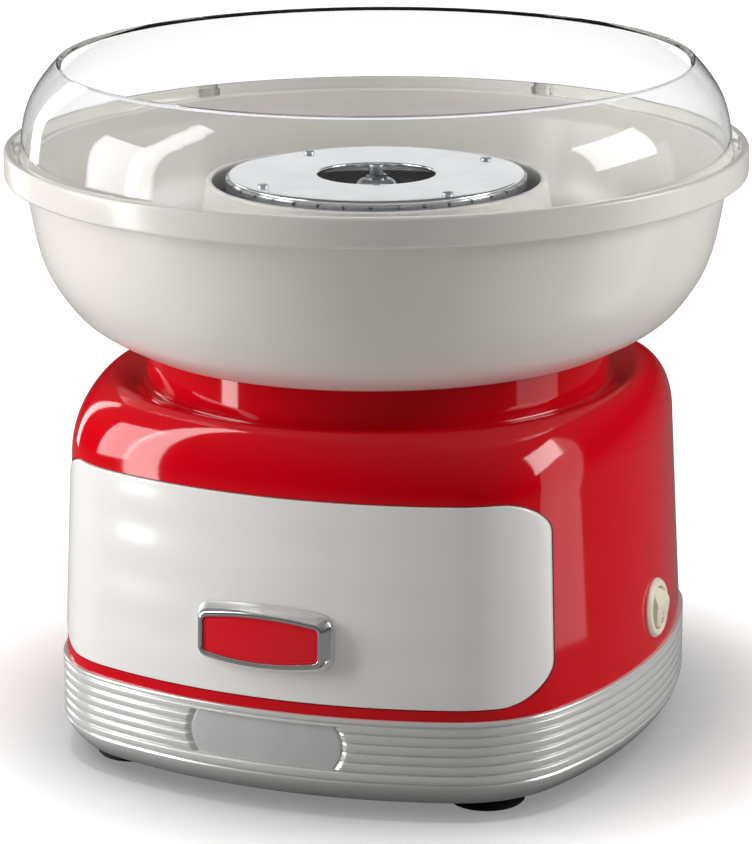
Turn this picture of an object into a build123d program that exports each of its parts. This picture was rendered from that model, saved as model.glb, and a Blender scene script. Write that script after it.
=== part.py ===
from build123d import *
from math import asin, cos, radians, sin, sqrt, tan
import os

os.makedirs("parts", exist_ok=True)

# Tabletop cotton candy machine. Millimetres, +Z up, front towards -Y.
# The origin is on the table, under the centre of the footprint.

# --- driving dimensions: plan outline (rounded square of eight tangent arcs) ---
plinth_half = 123.6         # centre to the middle of a plinth side
side_arc_radius = 232.0     # bow of each side, at the plinth
corner_arc_radius = 56.0    # corner radius, at the plinth

# --- plinth ---
lip_bottom_z = 6.5          # clearance under the lip
lip_height = 9.5            # smooth band below the ribs
lip_undercut = 6.2          # how far the lip draws in at its foot
rib_pitch = 4.0
rib_count = 6
rib_depth = 1.2
rib_chamfer = 0.7
bead_height = 2.2           # plain bead above the last rib
plinth_wall = 3.4
ledge_width = 7.0           # inner ledge that the bottom plate closes against
ledge_thickness = 2.5

# --- housing ---
housing_reveal = 1.7        # plinth stands this much proud of the housing
housing_draft = 2.75        # degrees
side_height = 83.8          # drafted part of the sides
shoulder_height = 30.0
shoulder_width = 13.5
shoulder_roundness = 0.75   # 0 keeps the rounded square, 1 is nearly a circle
round_sides = 1.06          # side and corner radii of the roundest outline, as shares of its half width
round_corners = 0.94
housing_wall = 3.2
moat_depth = 6.0            # dip between the shoulder's crest and the collar
moat_width = 12.0
collar_radius = 96.0
collar_rise = 17.5          # collar top above the shoulder's crest
collar_edge_radius = 2.0
deck_hole_radius = 40.0     # air and shaft opening in the deck that closes the collar
post_place = 58.0           # screw posts, from the centre along X and Y
post_radius = 5.0

# --- front panel, badge and nameplate ---
panel_rise = 4.8            # panel's lower edge above the plinth
panel_height = 81.7
panel_half_width = 107.0
panel_taper = 3.0           # how much each side leans in towards the top
panel_corner_radius = 15.0
panel_thickness = 2.0
panel_proud = 0.6
panel_gap = 0.5             # shadow gap round the panel
badge_z = 72.0
badge_half_width = 27.8
badge_half_height = 12.0
badge_bow = 2.2             # crown of the long edges
badge_corner_radius = 4.0
bezel_band = 2.9            # width of the bezel's face
bezel_flare = 1.5           # how much wider the bezel is at its foot
bezel_proud = 5.6
bezel_steps = (0.45, 0.8)   # heights where the flare steps in, as shares of bezel_proud
badge_margin = 8.0          # slab above and below the badge that its outline is cut from
insert_drop = 0.8           # insert's face below the bezel's face
nameplate_z = 29.6
nameplate_half_width = 32.4
nameplate_half_height = 9.1
nameplate_bow = 3.4         # bow of the two ends
nameplate_thickness = 0.9
recess_margin = 3.6         # recess in the ribs beyond each end of the nameplate
recess_depth = 2.1          # recess floor behind the ribs' crests

# --- feet, bottom plate and its screws ---
foot_place = 78.0
foot_radius = 15.5
foot_sole_width = 3.0       # flat ring that touches the table
foot_dish_depth = 2.0       # hollow under each suction foot
foot_edge = 0.8
foot_stem_radius = 4.0
plate_thickness = 2.7
plate_gap = 0.6
vent_length = 40.0
vent_width = 3.0
vent_pitch = 7.5
vent_count = 7
screw_head_radius = 3.4
screw_head_height = 2.4
screw_radius = 1.75
screw_length = 18.0
small_head_radius = 2.2
small_head_height = 1.3

# --- rocker switch on the right side ---
switch_y = 5.6
switch_z = 60.2
switch_bezel_radius = 12.4
switch_bezel_thickness = 2.2
switch_barrel_radius = 10.0
switch_depth = 16.0
switch_cup_radius = 8.9
rocker_radius = 8.3
rocker_tilt = 11.0          # degrees either side of level
rocker_crown = 2.0
rocker_depth = 4.0
rocker_pin_radius = 1.2
switch_cup_depth = 8.8

# --- mains cord inlet at the back ---
inlet_z = 62.0
inlet_bore_radius = 3.6
inlet_barrel_radius = 6.5
inlet_flange_radius = 9.5
inlet_flange_thickness = 2.5
inlet_sleeve_past = 2.0     # sleeve beyond the housing's inside

# --- motor ---
bracket_drop = 9.0          # bracket below the deck
bracket_thickness = 2.5
bracket_radius = 50.0
grommet_place = 43.0
grommet_radius = 7.5
grommet_hole_radius = 5.0
grommet_flange = 1.8
motor_radius = 26.0
motor_length = 72.0
motor_wall = 1.6
magnet_thickness = 5.0
magnet_length = 44.0
magnet_angle = 130.0
air_gap = 0.6
armature_slots = 8
armature_length = 36.0
armature_offset = 2.0       # armature above the can's middle, to clear the commutator
winding_height = 6.5
commutator_radius = 7.0
commutator_height = 8.0
commutator_rise = 4.0       # commutator above the end cap
brush_length = 9.0
brush_width = 5.0
brush_wall = 2.0
end_cap_thickness = 4.0
bearing_radius = 7.0
bearing_length = 7.0
shaft_radius = 3.0
running_gap = 0.05          # radial clearance of the shaft in its bearings and of the hub on the shaft
fit_gap = 0.1               # radial clearance of pieces that are pushed into holes
board_length = 34.0
board_width = 24.0
board_thickness = 1.6

# --- tower, fan and heater ---
tower_radius = 64.0
tower_height = 47.8
tower_wall = 2.5
tower_flange_radius = 70.0
tower_screw_place = 67.0
fan_radius = 34.0
fan_blades = 8
fan_height = 12.0
fan_hub_radius = 8.0
fan_wall = 1.5
fan_rise = 8.0              # fan above the deck
pan_rim_thickness = 1.0
pan_wall = 1.0
pan_radius = 58.0
pan_depth = 13.5
pan_slope = 4.0             # how much the wall draws in towards the floor
pan_hole_radius = 9.0
pan_upstand = 5.0
element_ring_radius = 44.0
element_radius = 3.3
element_span = 320.0        # degrees of the ring that is tube, the rest is the gap at its tails
element_lift = 3.2          # tube's underside above the pan's floor
tail_drop = 16.0
tail_share = 0.75           # tail's radius as a share of the tube's
insulator_radius = 6.0
insulator_lip = 2.0
clip_count = 3
clip_width = 5.0
clip_cheek = 1.5            # clip's wall beside the tube
clip_lap = 1.0              # clip's cheeks above the tube's axis

# --- spinner head ---
head_radius = 62.0
head_gap = 1.5              # head above the pan's rim
head_height = 12.0
head_wall = 4.0
head_floor = 2.0
head_plate_thickness = 1.6
head_hole_radius = 24.3
head_plate_roll = 1.2       # rounded edges of the top plate
outlet_count = 36
outlet_width = 1.4
outlet_height = 1.2
rim_chamfer = 2.0
hub_radius = 9.0
hub_tube_radius = 4.3
hub_dome_drop = 2.2         # dome's top below the head's top
hub_tube_drop = 0.9         # slotted tube's top below the head's top
hub_slot_width = 3.4
hub_slot_depth = 3.4        # visible slot in the tube's top
pin_length = 8.2
pin_radius = 1.4
pin_rise = 3.6              # pin's axis above the head's underside
head_screw_place = 54.0
head_screw_count = 4
head_screw_turn = 54.0      # degrees from +X to the first screw
head_boss_radius = 3.4
head_screw_head = 2.3
head_screw_dome = 1.0
tip_rise = 4.2              # shaft's knob above the head's top
tip_neck_radius = 2.3
tip_neck_height = 1.8
tip_height = 5.0

# --- bowl ---
seat_gap = 0.3              # gap between parts that only rest on each other
skirt_drop = 4.0            # bowl's skirt laps this far over the collar
skirt_gap = 1.2
skirt_wall = 6.6
bowl_height = 79.4
bowl_wall = 2.6
flange_radius = 152.5
flange_height = 12.0
flange_edge_radius = 1.6
flange_overhang = 8.1       # flange beyond the belly's top
# belly's outside from the skirt's foot to the flange: share of the way out, share of the way up
belly_curve = ((0.0, 0.0), (0.249, 0.077), (0.473, 0.169), (0.621, 0.272), (0.751, 0.392),
               (0.852, 0.537), (0.921, 0.715), (1.0, 1.0))
ledge_drop = 4.5            # guard's ledge below the flange's top
rim_band = 3.5              # flange's top outside the ledge
mouth_radius = 67.6         # opening round the spinner head
mouth_lip_z_drop = 2.0      # lip's top below the head's top
mouth_lip_radius = 1.8      # rolled lip of the opening
cone_foot_radius = 79.0
cone_foot_fillet = 3.0
key_count = 6
key_width = 9.0
key_depth = 1.6
key_turn = 22.2             # degrees, where the first notch sits

# --- clear guard ---
guard_gap = 2.4             # guard's foot inside the ledge
guard_height = 38.4
guard_inturn = 16.2         # opening's radius less than the foot's
# guard's outside from its foot to the opening: share of the way in, share of the way up
guard_curve = ((0.0, 0.0), (0.08, 0.234), (0.21, 0.495), (0.333, 0.625), (0.519, 0.755),
               (0.753, 0.885), (1.0, 1.0))
guard_wall = 2.2
guard_bead = 0.9            # small roll round the opening
guard_lug_root = 1.0        # how far each lug reaches into the wall
guard_lug_height = 3.2

# --- heights that follow ---
plinth_top_z = lip_bottom_z + lip_height + rib_pitch * rib_count + bead_height
shoulder_z = plinth_top_z + side_height
crest_z = shoulder_z + shoulder_height
panel_slab_top = plinth_top_z + panel_height + 3 * panel_rise
deck_top_z = crest_z + collar_rise
deck_bottom_z = deck_top_z - housing_wall
ledge_z = lip_bottom_z + plate_thickness
tower_top_z = deck_top_z + tower_height
pan_rim_z = tower_top_z + pan_rim_thickness
pan_floor_z = pan_rim_z - pan_depth
head_bottom_z = pan_rim_z + head_gap
head_top_z = head_bottom_z + head_height
pin_z = head_bottom_z + pin_rise
bowl_floor_z = deck_top_z + seat_gap
bowl_bottom_z = bowl_floor_z - skirt_drop
flange_top_z = bowl_bottom_z + bowl_height
guard_bottom_z = flange_top_z - ledge_drop + seat_gap
ledge_outer_radius = flange_radius - rim_band
skirt_radius = collar_radius + skirt_gap + skirt_wall
belly_radius = flange_radius - flange_overhang
guard_foot_radius = ledge_outer_radius - guard_gap
bracket_top_z = deck_bottom_z - bracket_drop
motor_top_z = bracket_top_z - bracket_thickness
motor_bottom_z = motor_top_z - motor_length
end_cap_z = motor_bottom_z - end_cap_thickness
armature_middle_z = (motor_top_z + motor_bottom_z) / 2 + armature_offset
brush_z = motor_bottom_z + commutator_rise + (commutator_height - brush_width) / 2

housing_half = plinth_half - housing_reveal
FLOOR = (Align.CENTER, Align.CENTER, Align.MIN)


def rod(radius, z0, z1, x=0.0, y=0.0):
    """Upright cylinder from z0 to z1."""
    return Pos(x, y, z0) * Cylinder(radius, z1 - z0, align=FLOOR)


def tube(outer, inner, z0, z1, x=0.0, y=0.0):
    """Upright tube from z0 to z1."""
    return rod(outer, z0, z1, x, y) - rod(inner, z0, z1, x, y)


def block(size_x, size_y, z0, z1, x=0.0, y=0.0):
    """Upright block from z0 to z1."""
    return Pos(x, y, z0) * Box(size_x, size_y, z1 - z0, align=FLOOR)


def turned(points):
    """Solid turned about Z from a closed outline of (radius, height) points."""
    outline = Polyline([(r, 0, z) for r, z in points], close=True)
    return revolve(make_face(outline), axis=Axis.Z)


def around(shape, count, start=0.0):
    """Copies of a shape spaced evenly about Z."""
    return [Rot(0, 0, start + 360 * i / count) * shape for i in range(count)]


def rounded_square(half, z=0.0, roundness=0.0):
    """Plan outline with its sides' middles at half, parallel to the plinth's outline."""
    inset = plinth_half - half
    side_r = side_arc_radius - inset
    corner_r = corner_arc_radius - inset
    side_r += (round_sides * half - side_r) * roundness
    corner_r += (round_corners * half - corner_r) * roundness
    side_centre = half - side_r
    reach = side_r - corner_r
    corner_centre = (side_centre + sqrt(2 * reach ** 2 - side_centre ** 2)) / 2
    half_angle = asin(corner_centre / reach)
    join = Vector(side_centre + side_r * cos(half_angle), side_r * sin(half_angle), z)
    side = ThreePointArc((join.X, -join.Y, z), (half, 0, z), join)
    diagonal = corner_centre + corner_r / sqrt(2)
    corner = ThreePointArc(join, (diagonal, diagonal, z), (join.Y, join.X, z))
    edges = [Rot(0, 0, 90 * i) * edge for i in range(4) for edge in (side, corner)]
    return make_face(Wire(edges))


def prism(half, z0, z1):
    """Straight-sided block with the rounded-square outline."""
    return extrude(rounded_square(half, z0), amount=z1 - z0, dir=(0, 0, 1))


def half_at(z):
    """Half width of the drafted housing side at a height."""
    return housing_half - (z - plinth_top_z) * tan(radians(housing_draft))


def skin_block(offset, z0, z1):
    """Drafted block whose sides stand at a constant offset from the housing's sides."""
    return loft([rounded_square(half_at(z0) + offset, z0), rounded_square(half_at(z1) + offset, z1)])


def front_prism(sketch):
    """A sketch of the front view (X across, Z up) pushed out through the front face."""
    return extrude(Plane.XZ * sketch, amount=2 * plinth_half)


def keyed(z0, z1, inner, outer, gap=0.0):
    """Blocks spaced round the guard's rim: its lugs, or with a gap the notches they drop into."""
    key = block(outer - inner + 2 * gap, key_width + 2 * gap, z0, z1, x=(outer + inner) / 2)
    return around(key, key_count, key_turn)


def curve(points):
    """Smooth profile through (radius, height) points."""
    return Spline([(r, 0, z) for r, z in points])


def inward(profile, wall):
    """Profile moved towards the axis by the wall thickness, square to the curve."""
    moved = []
    for i, (r, z) in enumerate(profile):
        (r0, z0), (r1, z1) = profile[max(i - 1, 0)], profile[min(i + 1, len(profile) - 1)]
        run, rise = r1 - r0, z1 - z0
        length = sqrt(run ** 2 + rise ** 2)
        moved.append((r - wall * rise / length, z + wall * run / length))
    return moved


def chain(points):
    """Straight edges through (radius, height) points."""
    return Polyline([(r, 0, z) for r, z in points]).edges()


# ---------------------------------------------------------------- base: shells

def plinth_levels():
    """Half widths of the plinth's outside from its foot to its top: lip, ribs and bead."""
    rib_z = lip_bottom_z + lip_height
    levels = []
    lip_steps = 5
    for i in range(lip_steps + 1):
        turn = radians(90 * i / lip_steps)
        levels.append((lip_bottom_z + (lip_height - rib_chamfer) * sin(turn),
                       plinth_half - rib_depth / 2 - lip_undercut * (1 - sin(turn)) ** 1.5))
    for i in range(rib_count):
        z = rib_z + i * rib_pitch
        levels.append((z, plinth_half - rib_depth))
        levels.append((z + rib_chamfer, plinth_half))
        levels.append((z + rib_pitch - rib_chamfer, plinth_half))
    top = plinth_top_z
    levels.append((top - bead_height, plinth_half - rib_depth))
    levels.append((top - bead_height + rib_chamfer, plinth_half))
    levels.append((top, plinth_half - rib_chamfer / 2))
    return levels


def nameplate_outline(half_width):
    """Front view of the nameplate or its recess: level long edges, ends bowed outwards."""
    low = nameplate_z - nameplate_half_height
    high = nameplate_z + nameplate_half_height
    corner = half_width - nameplate_bow
    outline = [Line((-corner, low), (corner, low)),
               ThreePointArc((corner, low), (half_width, nameplate_z), (corner, high)),
               Line((corner, high), (-corner, high)),
               ThreePointArc((-corner, high), (-half_width, nameplate_z), (-corner, low))]
    return make_face(Wire(outline))


def plinth_slab(low, high):
    """Front slab between two offsets from the plinth's outside, over the nameplate's heights."""
    z0 = nameplate_z - nameplate_half_height
    z1 = nameplate_z + nameplate_half_height
    return prism(plinth_half + high, z0, z1) - prism(plinth_half + low, z0, z1)


def make_plinth():
    """Ribbed metal-look band with an open middle, a ledge at its foot and the nameplate's recess."""
    body = loft([rounded_square(half, z) for z, half in plinth_levels()], ruled=True)
    inner = plinth_half - lip_undercut - plinth_wall
    body -= prism(inner, ledge_z + ledge_thickness, plinth_top_z)
    body -= prism(inner - ledge_width, lip_bottom_z, plinth_top_z)
    body -= prism(inner, lip_bottom_z, ledge_z)
    recess = nameplate_outline(nameplate_half_width + recess_margin)
    body -= plinth_slab(-recess_depth, recess_depth) & front_prism(recess)
    return body


def housing_block(inset):
    """Housing's outside, or with an inset the hollow inside it."""
    side = skin_block(-inset, plinth_top_z, shoulder_z)
    levels = []
    steps = 6
    for i in range(steps + 1):
        turn = radians(90 * i / steps)
        z = shoulder_z + (shoulder_height - inset) * sin(turn)
        half = half_at(shoulder_z) - inset - shoulder_width * (1 - cos(turn))
        levels.append(rounded_square(half, z, shoulder_roundness * (1 - cos(turn))))
    return side + loft(levels, ruled=True)


def collar_core(radius, top, edge):
    """Round neck on top of the housing, with a rounded top edge."""
    neck = rod(radius, shoulder_z, top)
    return fillet(neck.edges().filter_by(GeomType.CIRCLE).group_by(Axis.Z)[-1], edge)


def panel_outline(grow=0.0):
    """Front view of the white panel; grow widens it all round."""
    low = plinth_top_z + panel_rise - grow
    high = plinth_top_z + panel_rise + panel_height + grow
    wide = panel_half_width + grow
    narrow = wide - panel_taper
    sheet = make_face(Polyline((-wide, low), (wide, low), (narrow, high), (-narrow, high), close=True))
    return fillet(sheet.vertices(), panel_corner_radius + grow)


def make_housing():
    """Moulded housing: drafted sides, rounded shoulders, moat, collar, deck and screw posts."""
    body = housing_block(0.0)
    crest = crest_z
    foot = crest - moat_depth
    inner, outer = collar_radius - moat_width, collar_radius + moat_width
    above = crest + 1
    body -= turned([(inner, above), (inner, foot), (collar_radius, foot), (outer, crest), (outer, above)])
    body += collar_core(collar_radius, deck_top_z, collar_edge_radius)
    hollow = housing_block(housing_wall)
    hollow -= turned([(0, crest), (0, foot - housing_wall), (collar_radius, foot - housing_wall),
                      (outer, crest - housing_wall), (outer, crest)])
    hollow += rod(collar_radius - housing_wall, shoulder_z, deck_bottom_z)
    body -= hollow
    body -= rod(deck_hole_radius, deck_bottom_z, deck_top_z)
    blind = ledge_z + screw_length
    post = tube(post_radius, screw_radius, ledge_z, blind, post_place, post_place)
    post += rod(post_radius, blind, deck_bottom_z, post_place, post_place)
    hanger = tube(post_radius, screw_radius, bracket_top_z + grommet_flange, deck_bottom_z, grommet_place)
    for pillar in around(post, 4) + around(hanger, 3, 60):
        body += pillar
    pocket_depth = panel_thickness - panel_proud
    low, high = plinth_top_z, panel_slab_top
    pocket = skin_block(panel_proud, low, high) - skin_block(-pocket_depth, low, high)
    body -= pocket & front_prism(panel_outline(panel_gap))
    body -= switch_frame() * Cylinder(switch_barrel_radius, 4 * housing_wall)
    body -= inlet_frame() * Cylinder(inlet_barrel_radius, 4 * housing_wall)
    return body


def make_front_panel():
    """Curved white panel seated in the housing's pocket and wrapped round both front corners."""
    z0, z1 = plinth_top_z, panel_slab_top
    sheet = skin_block(panel_proud, z0, z1) - skin_block(panel_proud - panel_thickness, z0, z1)
    return sheet & front_prism(panel_outline())


def barrel(half_width, half_height, bow, corner):
    """Badge outline: straight ends, long edges bowed outwards."""
    end = half_height - bow
    low, high = badge_z - end, badge_z + end
    outline = [Line((-half_width, low), (-half_width, high)),
               ThreePointArc((-half_width, high), (0, badge_z + half_height), (half_width, high)),
               Line((half_width, high), (half_width, low)),
               ThreePointArc((half_width, low), (0, badge_z - half_height), (-half_width, low))]
    sheet = make_face(Wire(outline))
    return fillet(sheet.vertices(), corner)


def badge_layer(low, high, shrink):
    """Slab over the front panel between two offsets, cut to the badge outline."""
    z0 = badge_z - badge_half_height - badge_margin
    z1 = badge_z + badge_half_height + badge_margin
    slab = skin_block(panel_proud + high, z0, z1) - skin_block(panel_proud + low, z0, z1)
    face = barrel(badge_half_width - shrink, badge_half_height - shrink, badge_bow,
                  max(badge_corner_radius - shrink, 0.8))
    return slab & front_prism(face)


def make_badge_bezel():
    """Chromed frame, flared towards its foot in two steps, with a window for the insert."""
    low, high = (bezel_proud * share for share in bezel_steps)
    foot = badge_layer(0.0, low, -bezel_flare)
    waist = badge_layer(low, high, -bezel_flare / 2)
    face = badge_layer(high, bezel_proud, 0.0)
    window = badge_layer(low, bezel_proud + insert_drop, bezel_band)
    return foot + waist + face - window


def make_badge_insert():
    """Plain coloured insert in the bezel's window."""
    return badge_layer(bezel_proud * bezel_steps[0], bezel_proud - insert_drop, bezel_band)


def make_nameplate():
    """Plain plate seated in the recess on the front of the plinth."""
    slab = plinth_slab(-recess_depth, nameplate_thickness - recess_depth)
    return slab & front_prism(nameplate_outline(nameplate_half_width))


def make_bottom_plate():
    """Plate that closes the plinth, with air slots under the motor, foot holes and screw holes."""
    inner = plinth_half - lip_undercut - plinth_wall
    plate = prism(inner - plate_gap, lip_bottom_z, ledge_z)
    for i in range(vent_count):
        x = (i - (vent_count - 1) / 2) * vent_pitch
        slot = block(vent_width, vent_length, lip_bottom_z, ledge_z, x)
        plate -= slot
    for hole in around(rod(foot_stem_radius, lip_bottom_z, ledge_z, foot_place, foot_place), 4):
        plate -= hole
    for hole in around(rod(screw_radius, lip_bottom_z, ledge_z, post_place, post_place), 4):
        plate -= hole
    return plate


def make_feet():
    """Four suction feet with a hollow underside and a stem in the bottom plate."""
    sole = foot_radius - foot_sole_width
    waist = foot_radius * 0.75
    foot = turned([(0, foot_dish_depth), (sole * 0.6, foot_dish_depth * 0.7), (sole, 0),
                   (foot_radius - foot_edge, 0), (foot_radius, foot_edge), (waist, lip_bottom_z * 0.6),
                   (foot_radius * 0.65, lip_bottom_z), (foot_stem_radius, lip_bottom_z),
                   (foot_stem_radius, ledge_z), (0, ledge_z)])
    return Compound(children=around(Pos(foot_place, foot_place, 0) * foot, 4))


def screw(x, y, seat, tip, head_radius=screw_head_radius):
    """Pan-head screw driven upwards: its head rests under seat and its shank runs up to tip."""
    return rod(head_radius, seat - screw_head_height, seat, x, y) + rod(screw_radius, seat, tip, x, y)


def make_base_screws():
    """Four screws through the bottom plate into the housing's posts."""
    fastener = screw(post_place, post_place, lip_bottom_z, ledge_z + screw_length - 1)
    return Compound(children=around(fastener, 4))


def inlet_frame():
    """Place of the cord inlet: local Z points out of the back, square to the drafted face."""
    return Pos(0, half_at(inlet_z), inlet_z) * Rot(-90 + housing_draft, 0, 0)


def make_cord_inlet():
    """Flanged bush that lines the cord hole in the back."""
    flange = Cylinder(inlet_flange_radius, inlet_flange_thickness, align=FLOOR)
    flange = chamfer(flange.edges().group_by(Axis.Z)[-1], inlet_flange_thickness * 0.4)
    sleeve_length = housing_wall + inlet_sleeve_past
    sleeve = rod(inlet_barrel_radius - fit_gap, -sleeve_length, 0)
    return inlet_frame() * (flange + sleeve - Cylinder(inlet_bore_radius, 4 * sleeve_length))


def switch_frame():
    """Place of the switch: local Z points out of the right side, square to the drafted face."""
    return Pos(half_at(switch_z), switch_y, switch_z) * Rot(0, 90 - housing_draft, 0)


def make_switch_body():
    """Round bezel and barrel, open at the front for the rocker, with two pivot holes."""
    rim = Cylinder(switch_bezel_radius, switch_bezel_thickness, align=FLOOR)
    rim = chamfer(rim.edges().group_by(Axis.Z)[-1], switch_bezel_thickness * 0.4)
    barrel_part = rod(switch_barrel_radius - fit_gap, -switch_depth, 0)
    cup = rod(switch_cup_radius, -switch_cup_depth, switch_bezel_thickness)
    pivot = Rot(90, 0, 0) * Cylinder(rocker_pin_radius + running_gap, 2 * switch_barrel_radius)
    return switch_frame() * (rim + barrel_part - cup - pivot)


def make_rocker():
    """Round rocker with a ridge across its middle and two pivot pins, its upper half pressed in."""
    face = switch_bezel_thickness
    body = rod(rocker_radius, face - rocker_depth, face + rocker_crown)
    reach = 4 * rocker_radius
    for side in (1, -1):
        above = Pos(side * reach / 2, 0, 0) * Box(reach, reach, reach, align=FLOOR)
        body -= Pos(0, 0, face + rocker_crown) * Rot(0, side * rocker_tilt, 0) * above
    body += Rot(90, 0, 0) * Cylinder(rocker_pin_radius, 2 * (switch_barrel_radius - 2 * fit_gap))
    return switch_frame() * Rot(0, -rocker_tilt, 0) * body


# ---------------------------------------------------------------- base: motor

def make_motor_can():
    """Drawn steel can, closed at the top round the upper bearing."""
    can = tube(motor_radius, motor_radius - motor_wall, motor_bottom_z, motor_top_z)
    can += tube(motor_radius, bearing_radius, motor_top_z - motor_wall, motor_top_z)
    can += tube(bearing_radius + motor_wall, bearing_radius, motor_top_z - bearing_length, motor_top_z)
    return can


def make_end_cap():
    """Moulded cap at the motor's foot, with the lower bearing's seat and two brush boxes."""
    cap = tube(motor_radius, bearing_radius, end_cap_z, motor_bottom_z)
    spigot = motor_radius - motor_wall
    cap += tube(spigot, spigot - motor_wall, motor_bottom_z, motor_bottom_z + 3)
    box_top = motor_bottom_z + commutator_rise + commutator_height
    length = spigot - commutator_radius - 1.5 * motor_wall
    for side in (1, -1):
        x = side * (spigot - motor_wall - length / 2)
        box = block(length, brush_width + 2 * brush_wall, motor_bottom_z, box_top, x)
        cap += box - block(length + 2, brush_width, brush_z, brush_z + brush_width, x)
    return cap


def make_brushes():
    """Two carbon brushes in the cap's boxes."""
    place = commutator_radius + running_gap + brush_length / 2
    return Compound(children=[block(brush_length, brush_width, brush_z, brush_z + brush_width, side * place)
                              for side in (1, -1)])


def make_magnets():
    """Two arc magnets bonded inside the can."""
    outer = motor_radius - motor_wall
    low, high = armature_middle_z - magnet_length / 2, armature_middle_z + magnet_length / 2
    ring = tube(outer, outer - magnet_thickness, low, high)
    reach = 2 * outer
    gap = 180 - magnet_angle
    for turn in (-gap / 2, 180 - gap / 2):
        a, b = radians(turn), radians(turn + gap)
        corners = [(0, 0), (reach * cos(a), reach * sin(a)), (reach * cos(b), reach * sin(b))]
        ring -= Pos(0, 0, low) * extrude(make_face(Polyline(corners, close=True)), amount=magnet_length)
    return ring


def bush(z0):
    """Plain bearing bush for the motor shaft."""
    return tube(bearing_radius, shaft_radius + running_gap, z0, z0 + bearing_length)


def make_bracket():
    """Pressed plate that carries the motor between the three rubber mounts."""
    plate = tube(bracket_radius, bearing_radius, motor_top_z, bracket_top_z)
    for hole in around(rod(grommet_hole_radius, motor_top_z, bracket_top_z, grommet_place), 3, 60):
        plate -= hole
    for window in around(rod(9, motor_top_z, bracket_top_z, 38), 3, 0):
        plate -= window
    return plate


def make_rubber_mounts():
    """Three grooved grommets, one in each hole of the bracket."""
    low = motor_top_z - grommet_flange
    high = bracket_top_z + grommet_flange
    grommet = turned([(screw_radius, low), (grommet_radius, low), (grommet_radius, motor_top_z),
                      (grommet_hole_radius, motor_top_z), (grommet_hole_radius, bracket_top_z),
                      (grommet_radius, bracket_top_z), (grommet_radius, high), (screw_radius, high)])
    return Compound(children=around(Pos(grommet_place, 0, 0) * grommet, 3, 60))


def make_mount_screws():
    """Three screws that hang the grommets from the deck's posts."""
    low = motor_top_z - grommet_flange
    hanger = screw(grommet_place, 0, low, deck_bottom_z, head_radius=grommet_radius - 1.5)
    return Compound(children=around(hanger, 3, 60))


def make_rectifier():
    """Small circuit board with four diodes under the motor, on two stand-off legs."""
    leg = 6.0
    z1 = end_cap_z - leg
    board = block(board_length, board_width, z1 - board_thickness, z1)
    for side in (1, -1):
        board += rod(1.5, z1, end_cap_z, side * (board_length / 2 - 3))
    for i in range(4):
        x = (i - 1.5) * 6
        board += Pos(x, -board_width / 4, z1 - board_thickness - 1.3) * Rot(90, 0, 0) * Cylinder(1.4, 6)
    return board


def make_terminal_block():
    """Terminal block for the mains lead, on the bottom plate near the inlet."""
    body = block(30, 16, ledge_z, ledge_z + 14, 0, post_place + 20)
    for i in range(3):
        body -= rod(2.4, ledge_z + 6, ledge_z + 14, (i - 1) * 9, post_place + 20)
    return body


# ---------------------------------------------------------------- base: tower and heater

def make_tower():
    """Upright sleeve that carries the heater pan, with a foot flange and three inner posts."""
    body = tube(tower_radius, tower_radius - tower_wall, deck_top_z, tower_top_z)
    body += tube(tower_flange_radius, tower_radius - tower_wall, deck_top_z, deck_top_z + tower_wall)
    for post in around(rod(3.5, deck_top_z, pan_floor_z - pan_wall, tower_radius - tower_wall - 2.5), 3, 30):
        body += post
    slot = Pos(tower_radius, 0, deck_top_z + tower_height / 2) * Box(4 * tower_wall, 3, tower_height / 3)
    for opening in around(slot, 12, 15):
        body -= opening
    for hole in around(rod(screw_radius, deck_top_z, deck_top_z + tower_wall, tower_screw_place), 3, 0):
        body -= hole
    return body


def make_tower_screws():
    """Three short screws that hold the tower's flange to the deck."""
    seat = deck_top_z + tower_wall
    fastener = rod(small_head_radius, seat, seat + small_head_height, tower_screw_place)
    fastener += rod(screw_radius, deck_top_z, seat, tower_screw_place)
    return Compound(children=around(fastener, 3))


def make_heater_pan():
    """Spun metal pan: rim on the tower, sloping wall, flat floor and an upstand round the shaft."""
    t = pan_wall
    floor = pan_floor_z
    foot_radius_in = pan_radius - pan_slope
    upstand = floor + pan_upstand
    pan = turned([(tower_radius, tower_top_z), (tower_radius, pan_rim_z), (pan_radius, pan_rim_z),
                  (foot_radius_in, floor), (pan_hole_radius + t, floor), (pan_hole_radius + t, upstand),
                  (pan_hole_radius, upstand), (pan_hole_radius, floor - t), (foot_radius_in, floor - t),
                  (pan_radius, tower_top_z)])
    for x, y in element_tails():
        pan -= rod(insulator_radius - insulator_lip, floor - t, floor, x, y)
    return pan


def element_tails():
    """Plan positions of the heating tube's two ends."""
    ends = []
    for way in (1, -1):
        angle = radians(270 + way * (360 - element_span) / 2)
        ends.append((element_ring_radius * cos(angle), element_ring_radius * sin(angle)))
    return ends


def make_heating_element():
    """Ring of heating tube with both ends turned down through the pan's floor."""
    z = pan_floor_z + element_lift + element_radius
    start = 270 + (360 - element_span) / 2
    path = Plane.XY.offset(z) * CenterArc((0, 0), element_ring_radius, start, element_span)
    (x0, y0), (x1, y1) = element_tails()
    direction = Vector(-sin(radians(start)), cos(radians(start)), 0)
    section = Plane(origin=(x0, y0, z), z_dir=direction) * Circle(element_radius)
    body = sweep(section, path=path)
    for x, y in ((x0, y0), (x1, y1)):
        body += Pos(x, y, z) * Sphere(element_radius)
        body += rod(element_radius * tail_share, z - tail_drop, z, x, y)
    return body


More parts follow.
